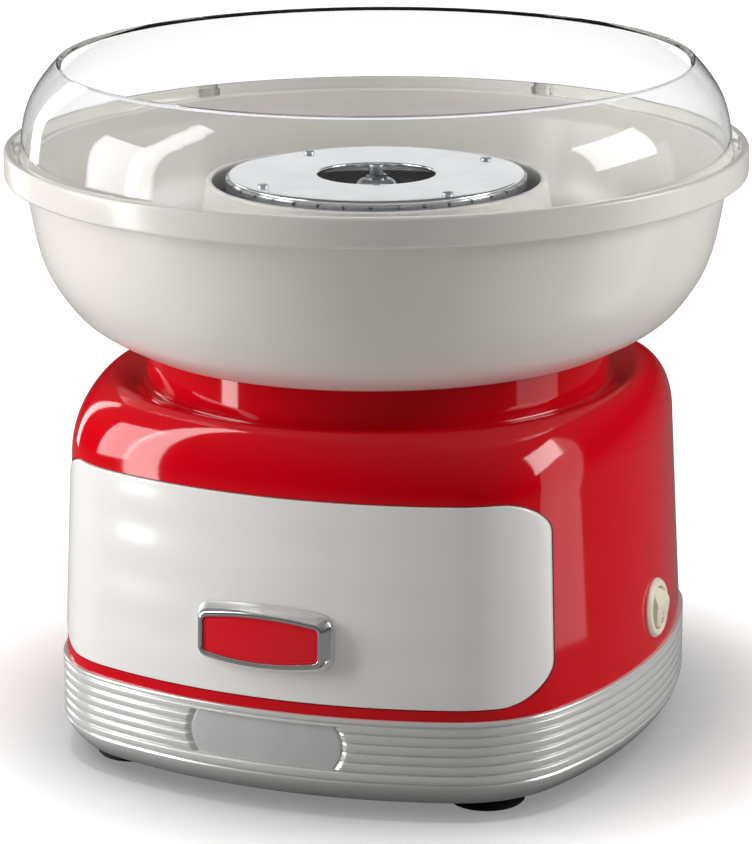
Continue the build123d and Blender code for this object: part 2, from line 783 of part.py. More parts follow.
def make_insulators():
    """Ceramic bushes where the tube's ends pass the pan's floor."""
    low = pan_floor_z - pan_wall
    foot = low - 2 * insulator_lip
    top = pan_floor_z + pan_wall
    neck = insulator_radius - insulator_lip
    bore = element_radius * tail_share
    bush_part = turned([(bore, foot), (insulator_radius, foot), (insulator_radius, low), (neck, low),
                        (neck, top), (bore, top)])
    return Compound(children=[Pos(x, y, 0) * bush_part for x, y in element_tails()])


def make_clips():
    """Saddles that hold the heating tube above the pan's floor."""
    z = pan_floor_z + element_lift + element_radius
    reach = element_radius + clip_cheek
    ring = tube(element_ring_radius + reach, element_ring_radius - reach, pan_floor_z, z + clip_lap)
    ring -= revolve(Plane.XZ * Pos(element_ring_radius, z) * Circle(element_radius), axis=Axis.Z)
    top = z + clip_lap
    ring -= tube(element_ring_radius + element_radius, element_ring_radius - element_radius, z, top)
    slice_box = block(4 * reach, clip_width, pan_floor_z, top, x=element_ring_radius)
    return Compound(children=[(ring & cut).solids()[0] for cut in around(slice_box, clip_count, 30)])


def make_pan_screws():
    """Three screws from the pan's floor into the tower's posts."""
    seat = pan_floor_z
    head = rod(small_head_radius, seat, seat + small_head_height, pan_radius - 8)
    return Compound(children=around(head, 3, 90))


def make_thermal_cutout():
    """Disc thermostat under the pan's floor."""
    low = pan_floor_z - pan_wall
    x = -28.0
    return rod(8, low - 4, low, x, 0) + rod(5, low - 9, low - 4, x, 0)


# ---------------------------------------------------------------- rotor

def make_shaft():
    """Steel shaft from the lower bearing to the knob above the spinner head."""
    top = head_top_z + tip_rise
    neck_top = top - tip_height
    shaft = rod(shaft_radius, end_cap_z - 2, neck_top - tip_neck_height)
    shaft += rod(tip_neck_radius, neck_top - tip_neck_height, neck_top)
    knob = rod(shaft_radius, neck_top, top)
    knob = fillet(knob.edges().filter_by(GeomType.CIRCLE), 0.9)
    shaft += knob
    shaft -= Pos(0, 0, pin_z) * Rot(0, 90, 0) * Cylinder(pin_radius, 4 * shaft_radius)
    return shaft


def make_drive_pin():
    """Cross pin that drives the head's slotted hub."""
    return Pos(0, 0, pin_z) * Rot(0, 90, 0) * Cylinder(pin_radius, pin_length)


def make_armature():
    """Slotted lamination stack on the shaft."""
    radius = motor_radius - motor_wall - magnet_thickness - air_gap
    z0 = armature_middle_z - armature_length / 2
    z1 = armature_middle_z + armature_length / 2
    core = tube(radius, shaft_radius, z0, z1)
    slot = block(radius * 0.34, 2.4, z0, z1, radius * 0.86) + rod(radius * 0.17, z0, z1, radius * 0.66)
    for opening in around(slot, armature_slots):
        core -= opening
    return core


def make_windings():
    """Copper end turns above and below the stack."""
    radius = motor_radius - motor_wall - magnet_thickness - air_gap
    turns = []
    for way in (1, -1):
        seat = armature_middle_z + way * armature_length / 2
        tip = seat + way * winding_height
        turns.append(turned([(shaft_radius + 1.5, seat), (radius - 1.5, seat), (radius - 2.5, tip - way * 2),
                             (radius - 5, tip), (shaft_radius + 3, tip)]))
    return Compound(children=turns)


def make_commutator():
    """Segmented copper drum below the lower windings."""
    z0 = motor_bottom_z + commutator_rise
    z1 = z0 + commutator_height
    drum = tube(commutator_radius, shaft_radius, z0, z1)
    groove = block(1.6, 0.5, z0, z1, commutator_radius)
    for cut in around(groove, armature_slots):
        drum -= cut
    return drum


def make_fan():
    """Cooling fan: hub, disc and straight radial blades."""
    z0 = deck_top_z + fan_rise
    fan = tube(fan_hub_radius, shaft_radius, z0, z0 + fan_height)
    fan += tube(fan_radius, shaft_radius, z0, z0 + fan_wall)
    root = fan_hub_radius - fan_wall
    blade = block(fan_radius - root, fan_wall, z0, z0 + fan_height, (fan_radius + root) / 2)
    for vane in around(blade, fan_blades):
        fan += vane
    return fan


# ---------------------------------------------------------------- spinner head

def make_head_base():
    """Turned cup of the spinner head: floor, rim with sugar outlets, and screw bosses."""
    rim_top = head_top_z - head_plate_thickness
    inner = head_radius - head_wall
    floor = head_bottom_z + head_floor
    cup = turned([(0, head_bottom_z), (head_radius - rim_chamfer, head_bottom_z),
                  (head_radius, head_bottom_z + rim_chamfer), (head_radius, rim_top), (inner, rim_top),
                  (inner - rim_chamfer, floor), (0, floor)])
    cup -= rod(hub_radius, head_bottom_z, rim_top)
    middle = head_radius - head_wall / 2
    outlet = block(3 * head_wall, outlet_width, rim_top - outlet_height, rim_top, x=middle)
    for cut in around(outlet, outlet_count):
        cup -= cut
    for boss in around(rod(head_boss_radius, floor, rim_top, head_screw_place),
                       head_screw_count, head_screw_turn):
        cup += boss
    return cup


def make_head_plate():
    """Polished top plate with rounded edges and the sugar opening."""
    z0 = head_top_z - head_plate_thickness
    outer = head_radius - head_wall / 4
    inner = head_hole_radius
    roll = head_plate_roll
    bend = roll * (1 - sin(radians(45)))
    return turned([(inner, z0), (outer, z0), (outer, head_top_z - roll), (outer - bend, head_top_z - bend),
                   (outer - roll, head_top_z), (inner + roll, head_top_z), (inner + bend, head_top_z - bend),
                   (inner, head_top_z - roll)])


def make_head_hub():
    """Hub with a domed shoulder and a slotted tube that drops over the shaft and its pin."""
    dome_top = head_top_z - hub_dome_drop
    rise = hub_radius - hub_tube_radius
    points = [(0, head_bottom_z), (hub_radius, head_bottom_z)]
    steps = 5
    for i in range(steps + 1):
        turn = radians(90 * i / steps)
        points.append((hub_tube_radius + rise * cos(turn), dome_top - rise + rise * sin(turn)))
    points += [(hub_tube_radius, head_top_z - hub_tube_drop), (0, head_top_z - hub_tube_drop)]
    hub = turned(points)
    hub -= rod(shaft_radius + running_gap, head_bottom_z, head_top_z)
    slot_length = pin_length + 3 * seat_gap
    hub -= block(slot_length, hub_slot_width, head_bottom_z, pin_z + pin_radius + seat_gap)
    hub -= block(slot_length, hub_slot_width, head_top_z - hub_slot_depth, head_top_z)
    return hub


def make_head_screws():
    """Small dome-head screws round the top plate."""
    head = rod(head_screw_head, head_top_z, head_top_z + head_screw_dome, head_screw_place)
    head = fillet(head.edges().filter_by(GeomType.CIRCLE).group_by(Axis.Z)[-1], head_screw_dome * 0.6)
    return Compound(children=around(head, head_screw_count, head_screw_turn))


# ---------------------------------------------------------------- bowl and guard

def make_bowl():
    """One moulding: skirt, rounded belly, flange with the guard's ledge, and the hollow centre cone."""
    w = bowl_wall
    foot = bowl_bottom_z
    floor = bowl_floor_z + w
    rise = bowl_height - flange_height
    reach = belly_radius - skirt_radius
    outside = [(skirt_radius + reach * out, foot + rise * up) for out, up in belly_curve]
    inside = inward(outside, w)[1:]
    belly, under_flange = outside[-1]
    ledge = flange_top_z - ledge_drop
    e = flange_edge_radius
    rim = [(belly, under_flange), (flange_radius - e, under_flange), (flange_radius, under_flange + e),
           (flange_radius, flange_top_z - e), (flange_radius - e, flange_top_z),
           (ledge_outer_radius, flange_top_z), (ledge_outer_radius, ledge), (inside[-1][0], ledge),
           inside[-1]]
    lip = head_top_z - mouth_lip_z_drop
    cone_top = lip - mouth_lip_radius
    collar = collar_radius + skirt_gap
    bend = cone_foot_fillet
    middle = [inside[0], (inside[0][0] - bend, floor), (cone_foot_radius + bend, floor),
              (cone_foot_radius, floor + bend), (mouth_radius + w, cone_top),
              (mouth_radius + 0.7 * w, lip), (mouth_radius + 0.3 * w, lip), (mouth_radius, cone_top),
              (cone_foot_radius - w, bowl_floor_z), (collar, bowl_floor_z), (collar, foot), outside[0]]
    wire = Wire([curve(outside)] + chain(rim) + [curve(inside)] + chain(middle))
    bowl = revolve(make_face(wire), axis=Axis.Z)
    low, high = ledge_outer_radius - key_depth, ledge_outer_radius + key_depth
    for notch in keyed(ledge, flange_top_z, low, high, seat_gap):
        bowl -= notch
    return bowl


def make_guard():
    """Clear guard: near-vertical foot, rounded shoulder and a rolled opening, with lugs at its foot."""
    outside = [(guard_foot_radius - guard_inturn * into, guard_bottom_z + guard_height * up)
               for into, up in guard_curve]
    inside = inward(outside, guard_wall)
    inside[0] = (guard_foot_radius - guard_wall, guard_bottom_z)
    (r_out, z_out), (r_in, z_in) = outside[-1], inside[-1]
    lift = guard_bead * 0.4
    roll = [outside[-1], (r_out - guard_bead, z_out + lift), (r_in - guard_bead, z_in + lift), inside[-1]]
    wire = Wire([curve(outside)] + chain(roll) + [curve(inside)] + chain([inside[0], outside[0]]))
    guard = revolve(make_face(wire), axis=Axis.Z)
    for lug in keyed(guard_bottom_z, guard_bottom_z + guard_lug_height, guard_foot_radius - guard_lug_root,
                     ledge_outer_radius + key_depth):
        guard += lug
    return guard


PARTS = {
    "plinth": make_plinth,
    "housing": make_housing,
    "front_panel": make_front_panel,
    "badge_bezel": make_badge_bezel,
    "badge_insert": make_badge_insert,
    "nameplate": make_nameplate,
    "bottom_plate": make_bottom_plate,
    "feet": make_feet,
    "base_screws": make_base_screws,
    "cord_inlet_bush": make_cord_inlet,
    "switch_body": make_switch_body,
    "rocker": make_rocker,
    "motor_can": make_motor_can,
    "motor_end_cap": make_end_cap,
    "motor_brushes": make_brushes,
    "motor_magnets": make_magnets,
    "upper_bearing": lambda: bush(motor_top_z - bearing_length),
    "lower_bearing": lambda: bush(motor_bottom_z - bearing_length + 3),
    "motor_bracket": make_bracket,
    "rubber_mounts": make_rubber_mounts,
    "mount_screws": make_mount_screws,
    "rectifier_board": make_rectifier,
    "terminal_block": make_terminal_block,
    "heater_tower": make_tower,
    "tower_screws": make_tower_screws,
    "heater_pan": make_heater_pan,
    "heating_element": make_heating_element,
    "element_insulators": make_insulators,
    "element_clips": make_clips,
    "pan_screws": make_pan_screws,
    "thermal_cutout": make_thermal_cutout,
    "motor_shaft": make_shaft,
    "drive_pin": make_drive_pin,
    "armature_core": make_armature,
    "armature_windings": make_windings,
    "commutator": make_commutator,
    "cooling_fan": make_fan,
    "head_base": make_head_base,
    "head_plate": make_head_plate,
    "head_hub": make_head_hub,
    "head_screws": make_head_screws,
    "bowl": make_bowl,
    "guard": make_guard,
}

for name, make in PARTS.items():
    export_step(make(), f"parts/{name}.step")
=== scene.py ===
"""Tabletop cotton candy machine: smooth surfaces, finishes, light and camera round the fixed model."""
from math import cos, radians, sin, tan

import bpy
import numpy as np
from mathutils import Matrix, Vector


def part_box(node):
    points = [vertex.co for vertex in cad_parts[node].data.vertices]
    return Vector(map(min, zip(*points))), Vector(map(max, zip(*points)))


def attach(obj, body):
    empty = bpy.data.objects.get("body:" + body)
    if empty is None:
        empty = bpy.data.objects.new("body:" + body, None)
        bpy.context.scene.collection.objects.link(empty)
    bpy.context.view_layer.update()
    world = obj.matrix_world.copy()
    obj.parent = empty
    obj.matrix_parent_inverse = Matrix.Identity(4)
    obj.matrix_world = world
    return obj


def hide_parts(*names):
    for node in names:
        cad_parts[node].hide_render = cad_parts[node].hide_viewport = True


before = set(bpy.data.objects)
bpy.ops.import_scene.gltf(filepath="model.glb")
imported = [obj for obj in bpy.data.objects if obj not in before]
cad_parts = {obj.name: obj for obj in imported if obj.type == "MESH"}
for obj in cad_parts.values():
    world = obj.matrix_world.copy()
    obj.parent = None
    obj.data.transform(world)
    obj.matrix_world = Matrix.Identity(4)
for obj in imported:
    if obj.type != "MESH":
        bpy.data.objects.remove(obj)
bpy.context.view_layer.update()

MM = 0.001                  # sizes are in millimetres until a mesh is made
TURN = 2 * np.pi
CREASE, PLATED_CREASE = 32, 50     # edges sharper than this many degrees stay sharp


def lowest(node):
    """Lowest corner of a node's box, in millimetres."""
    return np.array(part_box(node)[0]) / MM


def highest(node):
    """Highest corner of a node's box, in millimetres."""
    return np.array(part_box(node)[1]) / MM


# --- sizes read from the model ---
plinth_half = highest("plinth")[0]
plinth_bottom, plinth_top = lowest("plinth")[2], highest("plinth")[2]
deck_top = highest("housing")[2]
flange_radius = highest("bowl")[0]
bowl_bottom, flange_top = lowest("bowl")[2], highest("bowl")[2]
guard_bottom = lowest("guard")[2]
head_top = highest("head_plate")[2]
plate_outer_radius = highest("head_plate")[0]
bracket_top = highest("motor_bracket")[2]

# --- plan outline: eight tangent arcs ---
side_arc, corner_arc = 232.0, 56.0

# --- plinth ---
lip_height, lip_undercut = 9.5, 6.2
rib_pitch, rib_count, rib_depth, rib_chamfer = 4.0, 6, 1.2, 0.7
bead_height = 2.2
plinth_wall = 3.4
ledge_low, ledge_high, ledge_width = 2.7, 5.2, 7.0     # inner ledge, above the plinth's foot

# --- housing ---
housing_half = plinth_half - 1.7
draft = radians(2.75)
shoulder_z = plinth_top + 83.8
shoulder_height, shoulder_width, shoulder_roundness = 30.0, 13.5, 0.75
round_sides, round_corners = 1.06, 0.94
housing_wall = 3.2
crest_softness = 1.5        # how widely the crest rolls over into the moat
moat_depth, moat_width = 6.0, 12.0
collar_radius, collar_edge, collar_foot = 96.0, 2.0, 3.5
deck_hole = 40.0
post_place, post_radius, screw_radius = 58.0, 5.0, 1.75
hanger_place, hanger_gap = 43.0, 1.8     # the gap holds a rubber mount

# --- front panel, badge and nameplate ---
panel_low, panel_high = plinth_top + 4.8, plinth_top + 86.5
panel_half, panel_taper, panel_corner = 107.0, 3.0, 15.0
panel_proud, panel_depth, panel_gap, panel_edge = 0.6, 1.4, 0.5, 0.45
pocket_reach = 3.0          # how far the pocket's cutter stands out of the housing
wave_depth, wave_pitch, wave_crest = 0.22, 21.8, 121.5      # soft level waves across the panel
badge_z, badge_half, badge_height, badge_bow, badge_corner = 72.0, 27.8, 12.0, 2.2, 5.0
bezel_band, bezel_flare, bezel_proud = 2.9, 1.5, 5.6
insert_seat, insert_drop, insert_crown = 2.5, 0.8, 0.5
name_z, name_half, name_height, name_bow = 29.6, 32.4, 9.1, 3.4
name_thickness, recess_depth, recess_margin = 0.9, 2.1, 3.6

# --- switch ---
switch_y, switch_z = 5.6, 60.2
switch_bezel, bezel_thickness, switch_barrel, cup_radius, cup_depth = 12.4, 2.2, 9.9, 8.9, 8.8
switch_length = 16.0
rocker_radius, rocker_crown, rocker_depth = 8.3, 2.0, 4.0
rocker_edge, swing_gap = 0.55, 0.3     # rounding of its face, and the room that it keeps in the well
ridge_place, fall_below, fall_above = -2.8, 0.15, 0.55      # X points down, so the ridge is above the middle
mark_height = 0.06          # the marks are a ring and a bar
ring_inner, ring_outer, ring_place = 0.75, 1.15, 5.0
bar_radius, bar_stretch, bar_place = 0.2, 4.5, 2.2
pivot_radius = 1.2

# --- cord inlet at the back ---
inlet_z, inlet_hole = 62.0, 6.5

# --- bowl ---
bowl_floor = deck_top + 0.3
bowl_wall = 2.6
skirt_inner, skirt_outer = collar_radius + 1.2, collar_radius + 7.8
flange_height = 12.0
belly_radius = flange_radius - 8.1
belly_curve = ((0, 0), (0.249, 0.077), (0.473, 0.169), (0.621, 0.272), (0.751, 0.392), (0.852, 0.537),
               (0.921, 0.715), (1, 1))
ledge_radius, ledge_drop = flange_radius - 3.5, 4.5
mouth_radius, cone_foot = 67.6, 79.0
lip_z, lip_roll = head_top - 2.0, 1.8
key_count, key_width, key_depth, key_turn = 6, 9.0, 1.6, radians(22.2)
key_gap = 0.3

# --- clear guard ---
guard_foot = ledge_radius - 2.4
guard_height, guard_inturn, guard_wall, guard_bead = 38.4, 16.2, 2.2, 0.9
foot_edge = 0.3             # small bevel of the foot and its lugs
guard_curve = ((0, 0), (0.08, 0.234), (0.21, 0.495), (0.333, 0.625), (0.519, 0.755), (0.753, 0.885), (1, 1))
lug_height = 3.2

# --- spinner head ---
head_hole, plate_thickness, plate_roll = 24.3, 1.6, 0.9

# --- the photograph's camera ---
camera_azimuth, camera_elevation, camera_distance = radians(22.185), radians(15.222), 1600.0
aim_height, aim_sideways, camera_roll = 129.245, -0.766, radians(-0.331)
frame_height, focal_pixels, sensor_size = 844, 3821.26, 36.0

# --- studio ---
studio_level = 0.24         # soft light from all round
studio_in_reflections = 0.02, 0.25     # low down and straight up
floor_level, shadow_watts = 1.3, 16.7  # light on the open floor, and the lamp's watts for each unit of it
floor_in_reflections, floor_as_light = 0.14, 0.5
floor_radii, floor_drop, floor_thickness = (0, 150, 300, 450, 700, 1200, 4000), 0.05, 3.0
glow_near, glow_far, glow_start, glow_end = 0.22, 0.75, 0.11, 0.85     # the last two are radii in metres


# ---------------------------------------------------------------- curves and grids

def half_at(z):
    """Half width of the housing's drafted side at a height: its foot's half width less the height times
    the slope."""
    return housing_half - (z - plinth_top) * tan(draft)


def all_round(count):
    """Even angles right round."""
    return np.linspace(0, TURN, count, endpoint=False)


def arcs(half, roundness=0.0):
    """Radii and centres of the side and corner arcs of the outline whose sides' middles are at half."""
    inset = plinth_half - half
    side_r = side_arc - inset
    corner_r = corner_arc - inset
    side_r = side_r + (round_sides * half - side_r) * roundness
    corner_r = corner_r + (round_corners * half - corner_r) * roundness
    side_centre = half - side_r
    reach = side_r - corner_r
    corner_centre = (side_centre + np.sqrt(2 * reach ** 2 - side_centre ** 2)) / 2
    return side_r, corner_r, side_centre, corner_centre, corner_centre / reach


def plan_radius(angle, half, roundness=0.0):
    """Distance from the axis to the outline: the ray at an angle meets the side's arc near a side's
    middle and the corner's arc near a diagonal."""
    side_r, corner_r, side_centre, corner_centre, lean = arcs(half, roundness)
    join = np.arctan2(side_r * lean, side_centre + side_r * np.sqrt(1 - lean ** 2))
    fold = np.abs((angle + TURN / 8) % (TURN / 4) - TURN / 8)
    side = side_centre * np.cos(fold) + np.sqrt(side_r ** 2 - (side_centre * np.sin(fold)) ** 2)
    away = TURN / 8 - fold
    spread = np.sqrt(2) * corner_centre
    corner = spread * np.cos(away) + np.sqrt(np.maximum(corner_r ** 2 - (spread * np.sin(away)) ** 2, 0))
    return np.where(fold <= join, side, corner)


def front_y(x, half):
    """Y of the front face at a place across it: the side's arc in the middle, the corner's arc beyond the
    join."""
    side_r, corner_r, side_centre, corner_centre, lean = arcs(half)
    across = np.abs(x)
    side = side_centre + np.sqrt(np.maximum(side_r ** 2 - across ** 2, 0))
    corner = corner_centre + np.sqrt(np.maximum(corner_r ** 2 - (across - corner_centre) ** 2, 0))
    return -np.where(across <= side_r * lean, side, corner)


def rounded(corners, closed=True, steps=6):
    """Path through (across, up, radius) corners, where each corner becomes an arc that touches both its
    edges: its centre lies on the corner's bisector at radius over the sine of half the angle."""
    corners = np.asarray(corners, float)
    place, radius = corners[:, :2], np.maximum(corners[:, 2], 0.02)
    to_last, to_next = np.roll(place, 1, 0) - place, np.roll(place, -1, 0) - place
    last_length, next_length = np.linalg.norm(to_last, axis=1), np.linalg.norm(to_next, axis=1)
    u, v = to_last / last_length[:, None], to_next / next_length[:, None]
    half_angle = np.arccos(np.clip((u * v).sum(1), -0.99999, 0.99999)) / 2
    cut = np.minimum(radius / np.tan(half_angle), 0.49 * np.minimum(last_length, next_length))
    radius = cut * np.tan(half_angle)
    bisector = u + v
    length = np.linalg.norm(bisector, axis=1)
    bent = length > 1e-4
    bisector = bisector / np.where(bent, length, 1)[:, None]
    cut, radius = cut * bent, radius * bent
    centre = place + bisector * (radius / np.sin(half_angle))[:, None]
    a, b = place + u * cut[:, None] - centre, place + v * cut[:, None] - centre
    sweep = (np.pi - 2 * half_angle)[:, None, None]
    share = np.linspace(0, 1, steps)[None, :, None]
    arc = (a[:, None] * np.sin((1 - share) * sweep) + b[:, None] * np.sin(share * sweep)) / np.sin(sweep)
    path = centre[:, None] + arc
    if closed:
        return path.reshape(-1, 2)
    return np.vstack([place[:1], path[1:-1].reshape(-1, 2), place[-1:]])


def smooth_through(points, count):
    """Natural cubic curve through points, with the distance between them as its parameter, sampled
    evenly."""
    points = np.asarray(points, float)
    knots = np.concatenate([[0], np.cumsum(np.linalg.norm(np.diff(points, axis=0), axis=1))])
    gap = np.diff(knots)
    inner = np.arange(1, len(knots) - 1)
    system = np.eye(len(knots))
    system[inner, inner - 1], system[inner, inner + 1] = gap[:-1], gap[1:]
    system[inner, inner] = 2 * (gap[:-1] + gap[1:])
    slope = np.diff(points, axis=0) / gap[:, None]
    bend = np.linalg.solve(system, np.vstack([[0, 0], 6 * np.diff(slope, axis=0), [0, 0]]))
    along = np.linspace(0, knots[-1], count)
    k = np.clip(np.searchsorted(knots, along, side="right") - 1, 0, len(gap) - 1)
    t = ((along - knots[k]) / gap[k])[:, None]
    stiff = (gap[k] ** 2 / 6)[:, None]
    return ((1 - t) * points[k] + t * points[k + 1]
            + stiff * (((1 - t) ** 3 - (1 - t)) * bend[k] + (t ** 3 - t) * bend[k + 1]))


def moved_square(path, distance):
    """Path moved to its left by a distance, square to its own direction."""
    run = np.gradient(path, axis=0)
    run /= np.linalg.norm(run, axis=1)[:, None]
    return path + distance * np.stack([-run[:, 1], run[:, 0]], 1)


def apart(angle, others):
    """Turn between each angle and the nearest of the others."""
    return np.abs((angle[:, None] - others + TURN / 2) % TURN - TURN / 2).min(1)


def evenly(path, count):
    """A closed path sampled at even shares of its length."""
    ring = np.vstack([path, path[:1]])
    along = np.concatenate([[0], np.cumsum(np.linalg.norm(np.diff(ring, axis=0), axis=1))])
    wanted = np.linspace(0, along[-1], count, endpoint=False)
    return np.stack([np.interp(wanted, along, ring[:, k]) for k in (0, 1)], 1)


def columns(count, extra=()):
    """Polar angles right round: evenly spaced ones, but for those within a third of a step of an extra
    one, and the extra ones."""
    even = all_round(count)
    extra = np.asarray(extra, float) % TURN
    if len(extra):
        even = even[apart(even, extra) > TURN / count / 3]
    return np.sort(np.concatenate([even, extra]))


def turned(profile, angle):
    """Grid of a profile of (radius, height) carried round the axis: x and y are radius times cosine and
    sine."""
    profile = np.asarray(profile, float)
    r = profile[:, :1] if profile.ndim == 2 else profile[:, :, 0]
    z = profile[:, 1:] if profile.ndim == 2 else profile[:, :, 1]
    return np.stack([r * np.cos(angle), r * np.sin(angle), z + 0 * angle], -1)


def key_columns(radius, gap=0.0):
    """Angles just inside and just outside each side of the guard's lugs or their notches."""
    middle = key_turn + TURN * np.arange(key_count) / key_count
    edge = (key_width / 2 + gap) / radius
    offsets = np.array([-edge - 1e-4, -edge + 1e-4, edge - 1e-4, edge + 1e-4])
    return (middle[:, None] + offsets).ravel(), middle, edge


def faces_of(grid, loop):
    """Quads over a grid whose columns go right round. Its rows close on themselves with loop, and
    otherwise its first and last row are each one point. Faces point outwards, so that the volume is
    positive."""
    rows, across = grid.shape[:2]
    index = np.arange(rows * across).reshape(rows, across)
    if not loop:
        index[0], index[-1] = index[0, 0], index[-1, 0]
    here = index if loop else index[:-1]
    there = np.roll(index, -1, 0) if loop else index[1:]
    quads = np.stack([here, np.roll(here, -1, 1), np.roll(there, -1, 1), there], -1).reshape(-1, 4)
    corner = grid.reshape(-1, 3)[quads]
    volume = (np.cross(corner[:, 0], corner[:, 1]) * corner[:, 2]).sum()
    volume += (np.cross(corner[:, 0], corner[:, 2]) * corner[:, 3]).sum()
    return quads[:, ::-1] if volume < 0 else quads


def solid_mesh(name, grids, crease=CREASE):
    """One mesh of closed grids: shared corners, triangles at the poles, smooth but for edges over crease
    degrees."""
    points, faces, used = [], [], 0
    for grid, loop in grids:
        quads = faces_of(grid, loop)
        points.append(grid.reshape(-1, 3))
        faces.append(quads + used)
        used += len(points[-1])
    points, faces = np.vstack(points) * MM, np.vstack(faces)
    kept, faces = np.unique(faces, return_inverse=True)
    faces = faces.reshape(-1, 4)
    points = points[kept]
    first, last = faces[:, 0] == faces[:, 1], faces[:, 2] == faces[:, 3]
    wraps = (faces[:, 1] == faces[:, 2]) | (faces[:, 3] == faces[:, 0])
    plain = ~(first | last | wraps)
    triangles = np.vstack([faces[first][:, [0, 2, 3]], faces[last][:, [0, 1, 2]],
                           faces[faces[:, 1] == faces[:, 2]][:, [0, 1, 3]],
                           faces[faces[:, 3] == faces[:, 0]][:, [0, 1, 2]]])
    mesh = bpy.data.meshes.new(name)
    mesh.from_pydata(points.tolist(), [], faces[plain].tolist() + triangles.tolist())
    mesh.shade_smooth()
    mesh.set_sharp_from_angle(angle=radians(crease))
    return mesh


def piece(name, mesh, body, slot, finish, *nodes):
    """Object of a mesh that rides on a body and stands for its nodes."""
    made = bpy.data.objects.new(name, mesh)
    bpy.context.scene.collection.objects.link(made)
    mesh.materials.append(finish)
    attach(made, body)
    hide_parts(*nodes)
    return made


def grid_piece(name, grids, body, slot, finish, *nodes, crease=CREASE):
    """Piece made of closed grids."""
    return piece(name, solid_mesh(name, grids, crease), body, slot, finish, *nodes)


def placed(grid, matrix):
    """Grid moved by a 4 by 4 matrix in millimetres."""
    matrix = np.array(matrix)
    return grid @ matrix[:3, :3].T + matrix[:3, 3]


# ---------------------------------------------------------------- housing

def housing_grid():
    """Closed profile carried round the eight-arc outline, column by column: drafted side, shoulder on a
    quarter ellipse whose outline grows rounder, soft minimum of shoulder and moat slope, collar, deck,
    and the inside one wall further in."""
    angle = columns(360)

    def level(z, half, roundness=0.0):
        z, half, roundness = (np.atleast_1d(value).astype(float)[:, None] for value in (z, half, roundness))
        radius = plan_radius(angle[None, :], half, roundness)
        return np.stack([radius, z + 0 * radius], -1)

    def ring(path):
        path = np.asarray(path, float)
        return np.repeat(path[:, None, :], len(angle), 1)

    side_z = np.linspace(plinth_top, shoulder_z, 16)
    side = level(side_z, half_at(side_z))
    turn = np.linspace(0, TURN / 4, 40)[1:]
    top_half = half_at(shoulder_z)
    into = 1 - np.cos(turn)
    shoulder = level(shoulder_z + shoulder_height * np.sin(turn), top_half - shoulder_width * into,
                     shoulder_roundness * into)
    crest = shoulder_z + shoulder_height
    foot = crest - moat_depth
    share = np.linspace(0, 1, 24)[1:, None]
    radius = shoulder[-1, :, 0] * (1 - share) + (collar_radius + collar_foot) * share
    over = np.stack([radius, crest + 0 * radius], -1)
    outside = np.concatenate([side, shoulder, over])
    slope = foot + (outside[:, :, 0] - collar_radius) * moat_depth / moat_width
    heights = np.stack([outside[:, :, 1], slope])
    outside[:, :, 1] = -crest_softness * np.logaddexp(*(-heights / crest_softness))
    outside[:16, :, 1] = side_z[:, None]
    last_z = outside[-1, 0, 1]
    collar = rounded([(collar_radius + collar_foot, last_z, 0), (collar_radius, foot, collar_foot),
                      (collar_radius, deck_top, collar_edge), (deck_hole, deck_top, 0.5),
                      (deck_hole, deck_top - housing_wall, 0.5),
                      (collar_radius - housing_wall, deck_top - housing_wall, 0.8),
                      (collar_radius - housing_wall, foot - housing_wall, 0.8),
                      (collar_radius, foot - housing_wall, 0)], closed=False)[1:]
    turn = np.radians([40.0, 30.0, 20.0, 10.0, 0.0])
    inner = level(shoulder_z + (shoulder_height - housing_wall) * np.sin(turn),
                  top_half - housing_wall - shoulder_width * (1 - np.cos(turn)))
    skirt = level([shoulder_z - 30, plinth_top], [half_at(shoulder_z - 30) - housing_wall,
                                                  half_at(plinth_top) - housing_wall])
    profile = np.concatenate([outside, ring(collar), inner, skirt])
    return turned(profile, angle)


def post_grid(x, y, low, high):
    """Tube for a screw: a closed rectangle of (radius, height) turned about its own axis."""
    profile = rounded([(post_radius, low, 0.3), (post_radius, high, 0.1), (screw_radius, high, 0.1),
                       (screw_radius, low, 0.1)], steps=3)
    return turned(profile, all_round(24)) + np.array([x, y, 0])


def post_grids():
    """Four corner posts down to the bottom plate and three hangers for the motor's rubber mounts."""
    under_deck = deck_top - housing_wall + 0.05
    posts = [post_grid(x, y, plinth_bottom + ledge_low, under_deck)
             for x in (-post_place, post_place) for y in (-post_place, post_place)]
    for turn in np.radians([60, 180, 300]):
        x, y = hanger_place * cos(turn), hanger_place * sin(turn)
        posts.append(post_grid(x, y, bracket_top + hanger_gap, under_deck))
    return [(grid, True) for grid in posts]


def panel_outline(inset):
    """Front view of the panel, moved in by an inset: a trapezium with its four corners rounded."""
    low, high = panel_low + inset, panel_high - inset
    wide, corner = panel_half - inset, panel_corner - inset
    path = rounded([(-wide, low, corner), (wide, low, corner), (wide - panel_taper, high, corner),
                    (panel_taper - wide, high, corner)], steps=16)
    return evenly(path, 480)


def barrel_outline(inset):
    """Badge outline, moved in by an inset: straight ends, and long edges on a parabola that crowns in the
    middle."""
    half, height = badge_half - inset, badge_height - inset
    across = half * np.array([-1, -0.55, -0.3, 0, 0.3, 0.55, 1])
    bow = height - badge_bow * (across / half) ** 2
    corner = np.where(np.abs(across) == half, max(badge_corner - inset, 0.8), 50.0)
    upper = np.stack([across, badge_z + bow, corner], 1)
    lower = np.stack([across[::-1], badge_z - bow[::-1], corner], 1)
    return evenly(rounded(np.vstack([upper, lower])), 240)


